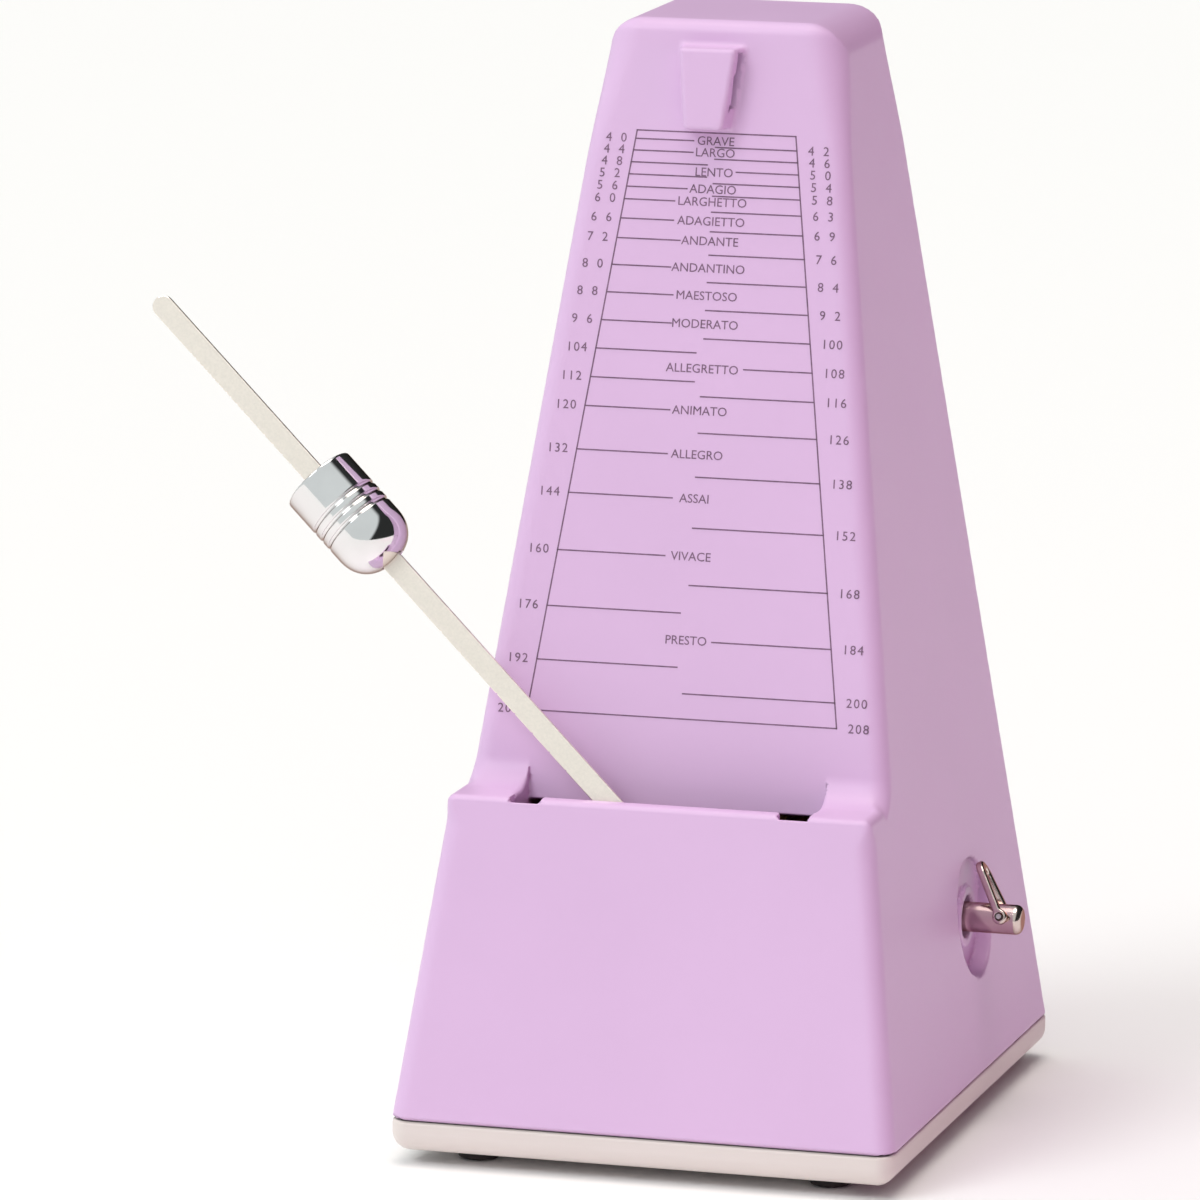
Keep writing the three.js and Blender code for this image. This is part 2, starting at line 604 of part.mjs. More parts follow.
function pendulumRod() {
  const half = ROD.width / 2;
  const outline = new THREE.Shape();
  outline.moveTo(half, -ROD.tail + ROD.tailPad);
  outline.lineTo(half, ROD.length - half);
  outline.absarc(0, ROD.length - half, half, 0, Math.PI);
  for (const height of rodNotches()) {
    outline.lineTo(-half, height + ROD_NOTCH);
    outline.lineTo(-half + ROD_NOTCH, height);
    outline.lineTo(-half, height - ROD_NOTCH);
  }
  outline.lineTo(-half, -ROD.tail + ROD.tailPad);
  const open = Math.acos(half / ROD.tailPad);
  outline.absarc(0, -ROD.tail, ROD.tailPad, Math.PI - open, 2 * Math.PI + open);
  addHole(outline, ARBOR.hole);
  addHole(outline, 1.6, 0, -ROD.tail);
  return plateY(outline, -ROD.thickness / 2, ROD.thickness / 2);
}

// Flat at the top, three grooves round the middle and a domed lower end.
function tempoWeight() {
  const { bottom, length, radius, dome } = WEIGHT;
  const profile = [[bottom, 0]];
  const steps = 6;
  for (let step = 1; step <= steps; step += 1) {
    const angle = (step / steps) * Math.PI / 2;
    profile.push([bottom + dome * (1 - Math.cos(angle)), radius * Math.sin(angle) ** 0.8]);
  }
  for (const groove of WEIGHT.grooves) {
    const at = bottom + groove;
    profile.push([at - 0.4, radius], [at, radius - 0.45], [at + 0.4, radius]);
  }
  const top = bottom + length;
  profile.push([top - 0.6, radius], [top, radius - 0.6], [top, 0]);
  const body = turned(profile, 28).rotateX(Math.PI / 2);
  const slot = box(
    [-ROD.width / 2 - GAP, ROD.width / 2 + GAP], [-ROD.thickness / 2 - GAP, 2.6], [bottom - 5, top + 5],
  );
  return cut(body, slot);
}

// A bowed leaf inside the weight that grips the rod.
function weightSpring() {
  const middle = WEIGHT.bottom + WEIGHT.length / 2;
  const leaf = polygon([
    [2.2, middle - 8], [0.9, middle], [2.2, middle + 8], [1.85, middle + 8], [0.55 + GAP, middle + 0.4],
    [0.55 + GAP, middle - 0.4], [1.85, middle - 8],
  ].reverse());
  return plateX(leaf, -1.8, 1.8);
}

function pendulumArbor() {
  const { radius, end } = ARBOR;
  const profile = [[-1.8, 0], [-1.8, 1.7], [-1.4, 2.1], [-0.8, 2.1], [-0.8, radius], [end, radius], [end, 0]];
  return turned(profile, 14);
}

function pendulumHub() {
  const profile = [[0.8, 1.4], [0.8, 3.4], [2, 3.4], [2, 2.4], [6, 2.4], [6, 1.4], [0.8, 1.4]];
  return turned(profile, 16);
}

// A collar with one flag that hangs to the side, just clear of the escape wheel.
function pallet(distance, side) {
  const start = -Math.PI / 2 + side * radians(40);
  const outline = new THREE.Shape();
  outline.absarc(0, 0, 2.1, start + 0.5, start - 0.5 + 2 * Math.PI);
  outline.lineTo(PALLETS.radius * Math.cos(start - 0.12), PALLETS.radius * Math.sin(start - 0.12));
  outline.lineTo(PALLETS.radius * Math.cos(start + 0.12), PALLETS.radius * Math.sin(start + 0.12));
  addHole(outline, ARBOR.hole);
  return plateY(outline, distance - PALLETS.width / 2, distance + PALLETS.width / 2);
}

function counterweight() {
  const { radius, front, thickness } = COUNTERWEIGHT;
  const back = front + thickness;
  const profile = [
    [front, 1.6], [front, radius - 0.8], [front + 0.8, radius], [back - 0.8, radius],
    [back, radius - 0.8], [back, 1.6], [front, 1.6],
  ];
  return turned(profile, 28).translate(0, 0, -ROD.tail);
}

function counterweightRivet() {
  const back = COUNTERWEIGHT.front + COUNTERWEIGHT.thickness + GAP;
  const profile = [
    [-1.6, 0], [-1.6, 1.8], [-1.2, 2.3], [-0.8, 2.3], [-0.8, 1.3], [back, 1.3],
    [back, 2.4], [back + 0.8, 1.8], [back + 0.8, 0],
  ];
  return turned(profile, 14).translate(0, 0, -ROD.tail);
}

// ---- Assembly -----------------------------------------------------------------------------
function part(name, geometry, material) {
  const mesh = new THREE.Mesh(geometry, material());
  mesh.name = name;
  return mesh;
}

function atCorners(prefix, x, y, make, material) {
  const group = new THREE.Group();
  for (const [front, end] of [['front', -1], ['rear', 1]]) {
    for (const [hand, side] of [['left', -1], ['right', 1]]) {
      const mesh = part(`${prefix}_${front}_${hand}`, make(), material);
      mesh.position.set(side * x, end * y, 0);
      group.add(mesh);
    }
  }
  return group;
}

function housing() {
  const group = new THREE.Group();
  group.add(part('case_shell', caseShell(), lilacPlastic));
  group.add(part('base_plate', basePlate(), creamPlastic));
  group.add(atCorners('foot_pad', FOOT.x, FOOT.y, footPad, darkRubber));
  const caseScrew = () => (
    crossHeadScrew(CASE_SCREW.head, -1.9, -0.4, CASE_SCREW.shank, -CASE_SCREW.length).rotateX(Math.PI)
  );
  group.add(atCorners('case_screw', CASE_SCREW.x, CASE_SCREW.y, caseScrew, steel));
  return group;
}

function frame() {
  const group = new THREE.Group();
  group.add(part('movement_plate_left', movementPlate(-1), brass));
  group.add(part('movement_plate_right', movementPlate(1), brass));
  PILLARS.forEach((place, index) => group.add(part(`pillar_${index + 1}`, pillar(place), brass)));
  group.add(part('front_cock', frontCock(), brass));
  group.add(part('rear_cock', rearCock(), brass));
  const top = FLANGE.z + PLATE_THICKNESS;
  const screw = () => crossHeadScrew(2.4, top + GAP, top + GAP + 1.4, 1.2, 1.2);
  group.add(atCorners('movement_screw', FLANGE.screwX, FLANGE.screwY, screw, steel));
  return group;
}

// The phases put a tooth of each driver opposite a space of the pinion that it drives.
function train() {
  const group = new THREE.Group();
  const toSecond = 180 - SECOND_RISE;
  const toEscape = 180 - ESCAPE_RISE;
  const great = crossings(gearShape(GREAT_WHEEL, toSecond, 3.4), 5, 12, 4.4);
  const secondPinion = gearShape(SECOND_PINION, toSecond + 180 + 180 / SECOND_PINION.teeth, 1.4);
  const secondWheel = crossings(gearShape(SECOND_WHEEL, toEscape, 1.4), 5, 8, 3.4);
  const escapePinion = gearShape(ESCAPE_PINION, toEscape + 180 + 180 / ESCAPE_PINION.teeth, 1.2);
  const saw = sawShape(ESCAPE_WHEEL.teeth, ESCAPE_WHEEL.radius, ESCAPE_WHEEL.root, 1.4);
  const escapeWheel = crossings(saw, 5, 5, 1.7);
  const escapePlace = { left: -ESCAPE_WHEEL.width / 2, width: ESCAPE_WHEEL.width };
  group.add(part('great_wheel', wheel(great, GREAT_WHEEL, BARREL), brass));
  group.add(part('barrel_drum', barrelDrum(), brass));
  group.add(part('barrel_cover', barrelCover(), brass));
  group.add(part('mainspring', mainspring(), blackSteel));
  group.add(part('second_arbor', arbor(SECOND), steel));
  group.add(part('second_pinion', wheel(secondPinion, SECOND_PINION, SECOND), steel));
  group.add(part('second_wheel', wheel(secondWheel, SECOND_WHEEL, SECOND), brass));
  group.add(part('escape_arbor', arbor(ESCAPE), steel));
  group.add(part('escape_pinion', wheel(escapePinion, ESCAPE_PINION, ESCAPE), steel));
  group.add(part('escape_wheel', wheel(escapeWheel, escapePlace, ESCAPE), brass));
  return group;
}

function winding() {
  const group = new THREE.Group();
  const ratchet = sawShape(RATCHET.teeth, RATCHET.radius, RATCHET.root, 2.8);
  group.add(part('winding_arbor', windingArbor(), chrome));
  group.add(part('ratchet_wheel', wheel(ratchet, RATCHET, BARREL), steel));
  group.add(part('click', click(), steel));
  group.add(part('click_screw', clickScrew(), steel));
  group.add(part('click_spring', clickSpring(), blackSteel));
  group.add(part('key_pin', keyPin(), steel));
  group.add(part('key_bail', keyBail(), chrome));
  return group;
}

function pendulum() {
  const swinging = new THREE.Group();
  swinging.add(part('pendulum_rod', pendulumRod(), rodSteel));
  swinging.add(part('pendulum_arbor', pendulumArbor(), steel));
  swinging.add(part('pendulum_hub', pendulumHub(), brass));
  swinging.add(part('pallet_front', pallet(PALLETS.front, -1), steel));
  swinging.add(part('pallet_rear', pallet(PALLETS.rear, 1), steel));
  swinging.add(part('counterweight', counterweight(), blackSteel));
  swinging.add(part('counterweight_rivet', counterweightRivet(), steel));
  swinging.add(part('tempo_weight', tempoWeight(), chrome));
  swinging.add(part('weight_spring', weightSpring(), blackSteel));
  swinging.rotation.y = -radians(SWING);
  const leaning = new THREE.Group();
  leaning.add(swinging);
  leaning.rotation.x = -TILT;
  leaning.position.copy(PIVOT);
  return leaning;
}

const metronome = new THREE.Group();
metronome.add(housing(), frame(), train(), winding(), pendulum());

export default metronome;
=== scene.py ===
"""Wind-up pendulum metronome: the fine surfaces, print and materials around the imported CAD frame.

Lengths are in millimetres until a mesh is made, which turns them into metres.
"""
import math

import bmesh
import bpy
import numpy as np
from mathutils import Matrix, Vector
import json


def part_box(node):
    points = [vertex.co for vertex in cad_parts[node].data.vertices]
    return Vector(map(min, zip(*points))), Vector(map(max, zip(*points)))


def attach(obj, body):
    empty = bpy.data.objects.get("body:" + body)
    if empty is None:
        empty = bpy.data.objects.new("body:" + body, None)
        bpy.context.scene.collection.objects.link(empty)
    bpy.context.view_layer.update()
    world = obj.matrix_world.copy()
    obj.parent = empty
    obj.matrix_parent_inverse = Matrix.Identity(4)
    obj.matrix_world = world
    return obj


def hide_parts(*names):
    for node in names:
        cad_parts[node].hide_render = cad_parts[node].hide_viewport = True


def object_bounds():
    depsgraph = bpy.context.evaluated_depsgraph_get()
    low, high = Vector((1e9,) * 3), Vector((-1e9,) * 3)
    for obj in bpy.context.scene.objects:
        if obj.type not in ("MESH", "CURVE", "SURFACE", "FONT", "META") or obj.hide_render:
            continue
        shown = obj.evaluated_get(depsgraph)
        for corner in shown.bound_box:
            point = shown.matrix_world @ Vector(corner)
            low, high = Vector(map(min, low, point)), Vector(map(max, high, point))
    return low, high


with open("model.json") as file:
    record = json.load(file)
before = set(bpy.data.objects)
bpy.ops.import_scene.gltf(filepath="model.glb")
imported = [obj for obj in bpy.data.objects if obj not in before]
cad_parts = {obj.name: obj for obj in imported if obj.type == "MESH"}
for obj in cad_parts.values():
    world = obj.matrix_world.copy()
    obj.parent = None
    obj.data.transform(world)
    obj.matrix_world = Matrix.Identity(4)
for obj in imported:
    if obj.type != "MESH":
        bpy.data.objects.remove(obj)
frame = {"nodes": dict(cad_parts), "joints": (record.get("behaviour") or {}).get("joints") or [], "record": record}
cad_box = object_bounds()

MM = 0.001

# ---- Driving dimensions -------------------------------------------------------------------
SIDE_SLOPE = 0.131            # how far each face leans in for each mm of height
FRONT_SLOPE = 0.212
BACK_SLOPE = 0.149
CORNER = 3.8                  # rounding of the upright edges
TOP_SIDE_ROUND = 6.8
TOP_ROUND_ZONE = (30.0, 4.0)  # the corners widen to it between these depths below the top
TOP_FRONT_ROUND = 2.6
WALL = 2.4
SHELF_ABOVE_SEAM = 64.0
STEP = 13.5                   # the dial stands this far behind the front block
STEP_FILLET = 5.5
SHELF_ROUND = 1.1
EDGE = 0.8                    # the usual rounding of a moulded edge
RIM_EDGE = 0.4                # the rounding where the case and the base plate meet
PAST = 1.0                    # how far a cut or a block runs past the face that it starts from
RUN_OUT = 5.0                 # how far the hollow runs on below the case's rim
MARGIN = 1.5                  # how far the sampling grid reaches past the case and the base
SHELF_SIDE_ROUND = 1.5
SHELF_ROUND_ZONE = (6.0, 1.0)     # the corners narrow to it between these depths below the shelf
SHELF_ROUND_FROM_DIAL = (1.0, 5.0)
SLOT_EDGE_FROM_DIAL = (0.2, 2.5)  # the slot's edge is sharp at the dial and rounded from here on
WELL = {
    "half": 30.8, "cheek": 2.4, "depth": 6.0, "front": 3.43, "back": 0.7, "round": 2.2,
    "lintel": 2.75,
}
NOTCH = {"inner": 24.5, "front": 0.95, "depth": 3.0, "sill": 0.9}
RECESS = {
    "radius": 12.0, "floor": 45.6, "edge": 0.4, "hole": 4.3, "hole_depth": 6.0,
    "collar": 6.4, "collar_height": 1.0, "collar_edge": 0.35,
}
LATCH = {
    "x": -1.6, "low": 194.0, "high": 210.0, "half_low": 3.9, "half_high": 5.8,
    "proud": 4.7, "draft": 0.2,
}
LATCH_GAP = {"near": 0.3, "far": 2.5, "wall": 2.2, "foot": 4.1, "roof": 1.2, "reach": 9.0}

CORNERS = ("front_left", "front_right", "rear_left", "rear_right")
BASE = {"round": 4.0, "floor": 2.6, "wall": 3.6, "stub": 4.65, "stub_edge": 0.4}
CASE_POST = {"radius": 5.4, "head": 3.2, "head_depth": 2.2, "hole": 1.75}
MOVEMENT_POST = {"radius": 4.0, "top": 5.0, "hole": 1.5, "floor": 0.8}
PAD = {"lip": 0.9, "flat": 0.5, "round": 0.45, "rise": 0.05, "overlap": 0.25, "segments": 48}

SCALE = {"low": 78.6, "first": 191.3, "high": 192.95, "half_low": 32.1, "half_high": 16.45}
INK = {
    "line": 0.27, "proud": 0.05, "sunk": 0.05, "digit": 2.6, "spread": 3.1,
    "word": 2.5, "letter": 1.6, "gap": 0.6, "stop": 1.5, "drop": 0.3,
}
LABEL_OFFSET = {"left": 4.0, "right": 4.5}
LEFT_TEMPOS = [
    40, 44, 48, 52, 56, 60, 66, 72, 80, 88, 96, 104, 112, 120, 132, 144, 160, 176, 192, 208,
]
RIGHT_TEMPOS = [
    42, 46, 50, 54, 58, 63, 69, 76, 84, 92, 100, 108, 116, 126, 138, 152, 168, 184, 200, 208,
]
WORDS = {
    40: "GRAVE", 44: "LARGO", 50: "LENTO", 56: "ADAGIO", 60: "LARGHETTO", 66: "ADAGIETTO",
    72: "ANDANTE", 80: "ANDANTINO", 88: "MAESTOSO", 96: "MODERATO", 108: "ALLEGRETTO",
    120: "ANIMATO", 132: "ALLEGRO", 144: "ASSAI", 160: "VIVACE", 184: "PRESTO",
}
LOWERED_WORDS = (50, 108)         # they sit a little under their line, clear of the line above

ROD = {
    "length": 155.0, "half": 2.2, "thick": 1.0, "tail": 30.0, "pad": 4.2, "pad_fillet": 0.5,
    "edge": 0.18, "notch": 0.22, "hole": 1.45,
}
WEIGHT = {"low": 81.7, "length": 22.8, "radius": 7.85, "dome": 7.5, "bulge": 2.3, "edge": 0.4}
GROOVES = {"heights": (10.4, 12.6, 14.8), "radius": 0.42, "edge": 0.15}
WEIGHT_SLOT = {"half": 2.5, "front": -0.8, "back": 2.6, "edge": 0.25}

PIN_RADIUS = 0.85
BAIL = {
    "length": 12.9, "half": 5.1, "leg": 1.7, "shoulder": 2.4, "crown": 3.5, "thick": 1.6,
    "eye": 1.5, "eye_fillet": 0.4, "round": 0.5, "lean": 29.0,
}
SHAFT = {"radius": 3.05, "inner_end": 20.6, "dome": 1.4, "pin_edge": 0.15}
SHAFT_STEPS = (                   # radius, and from where to where along the shaft
    (2.5, 10.5, 21.5),
    (3.0, -10.0, 10.5),
    (2.0, -19.5, 0.0),
)

CAMERA = {"azimuth": 16.887, "elevation": 11.1, "distance": 1815.8}
LENS = {"length": 270.0, "sensor": 36.0, "near": 0.05, "far": 20.0}
TARGET = Vector((-23.5, -11.5, 104.1))
FLOOR = {"half": 6000.0, "gap": 0.2}
KEY_LIGHT = {
    "azimuth": -38, "elevation": 46, "spread": 26, "strength": 0.86, "color": (0.94, 1.0, 1.0),
}
TOP_LIGHT = {
    "azimuth": 0, "elevation": 88, "spread": 40, "strength": 1.45, "color": (1.0, 0.90, 0.84),
}
RIGHT_FILL = {
    "azimuth": 76, "elevation": 8, "distance": 1500, "size": 900, "power": 2.6,
    "color": (1.0, 0.10, 0.60),
}
SURROUNDINGS = {
    "azimuth": -55, "elevation": 35, "edge": (0.16, 0.30), "strength": (0.03, 0.76),
    "color": (0.93, 1.0, 1.0),
}


# ---- Places read from the frame -----------------------------------------------------------
def box_mm(node):
    low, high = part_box(node)
    return np.array(low) / MM, np.array(high) / MM


case_low, case_high = box_mm("case_shell")
plate_low, plate_high = box_mm("base_plate")
joints = {joint["name"]: joint for joint in frame["joints"]}

SEAM = case_low[2]
TOP = case_high[2]
HALF_WIDTH = case_high[0]
HALF_DEPTH = case_high[1]
SHELF = SEAM + SHELF_ABOVE_SEAM
KEY_Y, KEY_Z = np.array(joints["winding_turn"]["pos_m"])[1:] / MM
TILT = math.atan(FRONT_SLOPE)
COS_TILT = math.cos(TILT)


def cosine_of(slope):
    return math.cos(math.atan(slope))


def front_y(z):
    return FRONT_SLOPE * (z - SEAM) - HALF_DEPTH


def dial_y(z):
    return front_y(z) + STEP


# ---- Signed distance fields: negative inside, positive outside ------------------------------
def meet(a, b, radius):
    """What is inside both, with the edge between them rounded."""
    corner = np.hypot(np.maximum(a + radius, 0), np.maximum(b + radius, 0))
    return np.minimum(-radius, np.maximum(a, b)) + corner


def join(a, b, radius):
    """What is inside either, with a fillet between them."""
    return -meet(-a, -b, radius)


def smooth_step(value, low, high):
    t = np.clip((value - low) / (high - low), 0, 1)
    return t * t * (3 - 2 * t)


def gradient(field, points, reach=0.01):
    slopes = []
    for axis in range(3):
        shift = np.zeros(3)
        shift[axis] = reach
        slopes.append(field(*(points + shift).T) - field(*(points - shift).T))
    return np.stack(slopes, axis=1) / (2 * reach)


def edge_crossings(values, axes, axis):
    """Where the surface cuts the grid's edges along one axis, with the four cells round each."""
    cell_shape = [len(places) - 1 for places in axes]
    unit = np.eye(3, dtype=int)
    low = np.take(values, range(cell_shape[axis]), axis) < 0
    high = np.take(values, range(1, cell_shape[axis] + 1), axis) < 0
    index = np.argwhere(low != high)
    start = values[tuple(index.T)]
    end = values[tuple((index + unit[axis]).T)]
    point = np.stack([axes[k][index[:, k]] for k in range(3)], axis=1)
    span = axes[axis][index[:, axis] + 1] - axes[axis][index[:, axis]]
    point[:, axis] += span * start / (start - end)
    u, v = unit[(axis + 1) % 3], unit[(axis + 2) % 3]
    ring = np.stack([
        np.ravel_multi_index((index - shift).T, cell_shape) for shift in (0 * u, u, u + v, v)
    ], axis=1)
    ring[start > 0] = ring[start > 0][:, ::-1]
    return point, ring


def pull_onto(field, points, rounds=4, least_slope=0.5):
    """Newton steps to the field's surface; the slope is kept from vanishing at sharp edges."""
    for _ in range(rounds):
        slope = gradient(field, points)
        steepness = np.maximum((slope ** 2).sum(axis=1), least_slope ** 2)
        points = points - slope * (field(*points.T) / steepness)[:, None]
    return points


def surface(field, axes):
    """The closed surface of a field: a point in each cell that it cuts, moved exactly onto it."""
    values = field(*np.meshgrid(*axes, indexing="ij"))
    crossings, rings = zip(*(edge_crossings(values, axes, axis) for axis in range(3)))
    crossings, rings = np.concatenate(crossings), np.concatenate(rings)
    cells, faces = np.unique(rings, return_inverse=True)
    faces = faces.reshape(rings.shape)
    points = np.zeros((len(cells), 3))
    for corner in range(4):
        np.add.at(points, faces[:, corner], crossings)
    points /= np.bincount(faces.ravel(), minlength=len(cells))[:, None]
    return pull_onto(field, points), faces


def grid(low, high, cell, fine=()):
    """Coordinates from low to high, with smaller cells in the (from, to, size) stretches."""
    places = [low]
    while places[-1] < high:
        size = min([cell] + [s for a, b, s in fine if a <= places[-1] < b])
        places.append(places[-1] + size)
    return np.array(places)


# ---- Objects -----------------------------------------------------------------------------
def add_object(name, mesh, body, material, replaced=()):
    """Adds a piece in one material, on its body, in place of the CAD nodes replaced."""
    piece = bpy.data.objects.new(name, mesh)
    bpy.context.scene.collection.objects.link(piece)
    mesh.materials.clear()
    mesh.materials.append(material)
    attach(piece, body)
    if replaced:
        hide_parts(*replaced)
    return piece


def merge_flats(mesh, block=16.0, repeat=16, flat_angle=0.06):
    """Joins coplanar faces within each block of space, so that no face grows long or many-sided."""
    shape = bmesh.new()
    shape.from_mesh(mesh)
    for face in shape.faces:
        i, j, k = (math.floor(value / block) % repeat for value in face.calc_center_bounds())
        face.material_index = i + repeat * (j + repeat * k)
    bmesh.ops.dissolve_limit(
        shape, angle_limit=math.radians(flat_angle), verts=shape.verts[:], edges=shape.edges[:],
        delimit={"MATERIAL"},
    )
    for face in shape.faces:
        face.material_index = 0
    bmesh.ops.triangulate(shape, faces=[face for face in shape.faces if len(face.verts) > 4])
    shape.to_mesh(mesh)
    shape.free()


def mesh_from_field(name, field, axes, place=None):
    """A mesh of the field's surface: big faces where it is flat, and the field's own normals."""
    points, faces = surface(field, axes)
    mesh = bpy.data.meshes.new(name)
    mesh.from_pydata(points.tolist(), [], faces.tolist())
    merge_flats(mesh)
    mesh.shade_smooth()
    kept = np.empty(len(mesh.vertices) * 3)
    mesh.vertices.foreach_get("co", kept)
    kept = kept.reshape(-1, 3)
    normals = gradient(field, kept)
    normals /= np.linalg.norm(normals, axis=1)[:, None]
    turn = Matrix.Identity(4) if place is None else place
    mesh.transform(turn)
    spin = np.array(turn.to_3x3())
    mesh.normals_split_custom_set_from_vertices((normals @ spin.T).tolist())
    mesh.transform(Matrix.Scale(MM, 4))
    return mesh


# ---- Materials -----------------------------------------------------------------------------
COAT_ROUGHNESS = 0.12
SPECULAR = 0.3
FLOOR_SPECULAR = 0.2


def new_material(name, color, roughness, metallic=0.0, coat=0.0):
    material = bpy.data.materials.new(name)
    material.use_nodes = True
    shader = material.node_tree.nodes["Principled BSDF"]
    shader.inputs["Base Color"].default_value = (*color, 1)
    shader.inputs["Roughness"].default_value = roughness
    shader.inputs["Metallic"].default_value = metallic
    shader.inputs["Coat Weight"].default_value = coat
    shader.inputs["Coat Roughness"].default_value = COAT_ROUGHNESS
    shader.inputs["Specular IOR Level"].default_value = SPECULAR
    return material, material.node_tree, shader


def add_node(tree, kind, **values):
    """A node with the values given for its inputs, or else for its settings."""
    node = tree.nodes.new(kind)
    for name, value in values.items():
        if name in node.inputs.keys():
            node.inputs[name].default_value = value
        else:
            setattr(node, name, value)
    return node


def noise(tree, scale, detail=4.0, stretch=(1, 1, 1)):
    place = add_node(tree, "ShaderNodeTexCoord")
    mapping = add_node(tree, "ShaderNodeMapping", Scale=stretch)
    texture = add_node(tree, "ShaderNodeTexNoise", Scale=scale, Detail=detail)
    tree.links.new(place.outputs["Object"], mapping.inputs["Vector"])
    tree.links.new(mapping.outputs["Vector"], texture.inputs["Vector"])
    return texture.outputs["Fac"]


def vary_color(tree, shader, factor, dark, light):
    ramp = add_node(tree, "ShaderNodeValToRGB")
    ramp.color_ramp.elements[0].position = 0.3
    ramp.color_ramp.elements[0].color = (*dark, 1)
    ramp.color_ramp.elements[1].position = 0.7
    ramp.color_ramp.elements[1].color = (*light, 1)
    tree.links.new(factor, ramp.inputs["Fac"])
    tree.links.new(ramp.outputs["Color"], shader.inputs["Base Color"])


def vary_roughness(tree, shader, factor, low, high):
    span = add_node(tree, "ShaderNodeMapRange")
    span.inputs["To Min"].default_value = low
    span.inputs["To Max"].default_value = high
    tree.links.new(factor, span.inputs["Value"])
    tree.links.new(span.outputs["Result"], shader.inputs["Roughness"])


def add_bump(tree, shader, factor, strength, distance):
    bump = add_node(tree, "ShaderNodeBump", Strength=strength, Distance=distance)
    tree.links.new(factor, bump.inputs["Height"])
    tree.links.new(bump.outputs["Normal"], shader.inputs["Normal"])


def shade(color, factor):
    return tuple(channel * factor for channel in color)


def moulded_plastic(name, color, roughness, coat):
    """Satin plastic with faint clouds, uneven wear and a fine moulded grain."""
    material, tree, shader = new_material(name, color, roughness, coat=coat)
    clouds = noise(tree, scale=22, detail=2)
    wear = noise(tree, scale=90, detail=3)
    grain = noise(tree, scale=2600, detail=2)
    vary_color(tree, shader, clouds, shade(color, 0.985), shade(color, 1.015))
    vary_roughness(tree, shader, wear, roughness - 0.03, roughness + 0.04)
    add_bump(tree, shader, grain, strength=0.10, distance=0.00004)
    return material


def brushed_metal(name, color, roughness, stretch=(1, 1, 1), grain=900.0, contrast=0.1):
    """Bare metal with a fine grain, which a stretch of other than 1 draws out along an axis."""
    material, tree, shader = new_material(name, color, roughness, metallic=1.0)
    brushing = noise(tree, grain, detail=3, stretch=stretch)
    vary_color(tree, shader, brushing, shade(color, 1 - contrast), shade(color, 1 + contrast / 2))
    vary_roughness(tree, shader, brushing, roughness - 0.05, roughness + 0.09)
    add_bump(tree, shader, brushing, strength=0.16, distance=0.00003)
    return material


def polished_metal(name, color, roughness, edge):
    """Smeared plate whose reflections darken towards the edge colour at a glancing angle."""
    material, tree, shader = new_material(name, color, roughness, metallic=1.0)
    shader.inputs["Specular Tint"].default_value = (*edge, 1)
    smears = noise(tree, scale=120)
    vary_color(tree, shader, smears, shade(color, 0.95), shade(color, 1.03))
    vary_roughness(tree, shader, smears, roughness * 0.7, roughness * 1.5)
    return material


def grained(name, color, roughness, metallic, scale, strength):
    """A matt surface with a grain of the given scale: ink, rubber or cast metal."""
    material, tree, shader = new_material(name, color, roughness, metallic=metallic)
    grain = noise(tree, scale, detail=5)
    vary_color(tree, shader, grain, shade(color, 0.75), shade(color, 1.25))
    vary_roughness(tree, shader, grain, roughness - 0.06, roughness + 0.06)
    add_bump(tree, shader, grain, strength, distance=0.0001)
    return material


LILAC = moulded_plastic("lilac_plastic", (0.690, 0.465, 0.708), 0.38, 0.04)
CREAM = moulded_plastic("cream_plastic", (0.740, 0.660, 0.630), 0.42, 0.04)
INK_MATERIAL = grained("scale_ink", (0.20, 0.115, 0.19), 0.6, 0.0, 700, 0.1)
RUBBER = grained("foot_rubber", (0.035, 0.028, 0.028), 0.75, 0.0, 1500, 0.5)
ROD_STEEL = brushed_metal("rod_steel", (0.93, 0.84, 0.76), 0.38, grain=1800.0, contrast=0.04)
WEIGHT_CHROME = polished_metal("weight_chrome", (0.84, 0.82, 0.82), 0.07, (0.35, 0.24, 0.20))
KEY_CHROME = polished_metal("key_chrome", (0.68, 0.56, 0.52), 0.14, (0.40, 0.20, 0.18))
STEEL = brushed_metal("turned_steel", (0.60, 0.59, 0.57), 0.28)
BRASS = brushed_metal("clock_brass", (0.72, 0.52, 0.22), 0.30, stretch=(1, 1, 0.15))
SPRING_STEEL = brushed_metal("spring_steel", (0.14, 0.14, 0.16), 0.32)
CAST_METAL = grained("cast_counterweight", (0.12, 0.115, 0.11), 0.55, 0.8, 900, 0.4)

SLOT_MATERIALS = {
    "lilac_case": LILAC, "cream_base": CREAM, "rubber_feet": RUBBER, "steel_parts": STEEL,
    "brass_movement": BRASS, "spring_steel": SPRING_STEEL, "dark_counterweight": CAST_METAL,
    "pendulum_steel": ROD_STEEL, "chrome_weight": WEIGHT_CHROME, "chrome_key": KEY_CHROME,
}


def finish_cad_nodes():
    """Gives every CAD node the material of its slot."""
    for row in frame["record"]["subparts"]:
        mesh = frame["nodes"][row["node"]].data
        mesh.materials.clear()
        mesh.materials.append(SLOT_MATERIALS[row["material_slot"]])


# ---- Case ----------------------------------------------------------------------------------
def front_distance(y, z):
    return (front_y(z) - y) * COS_TILT


def dial_distance(y, z):
    return (dial_y(z) - y) * COS_TILT


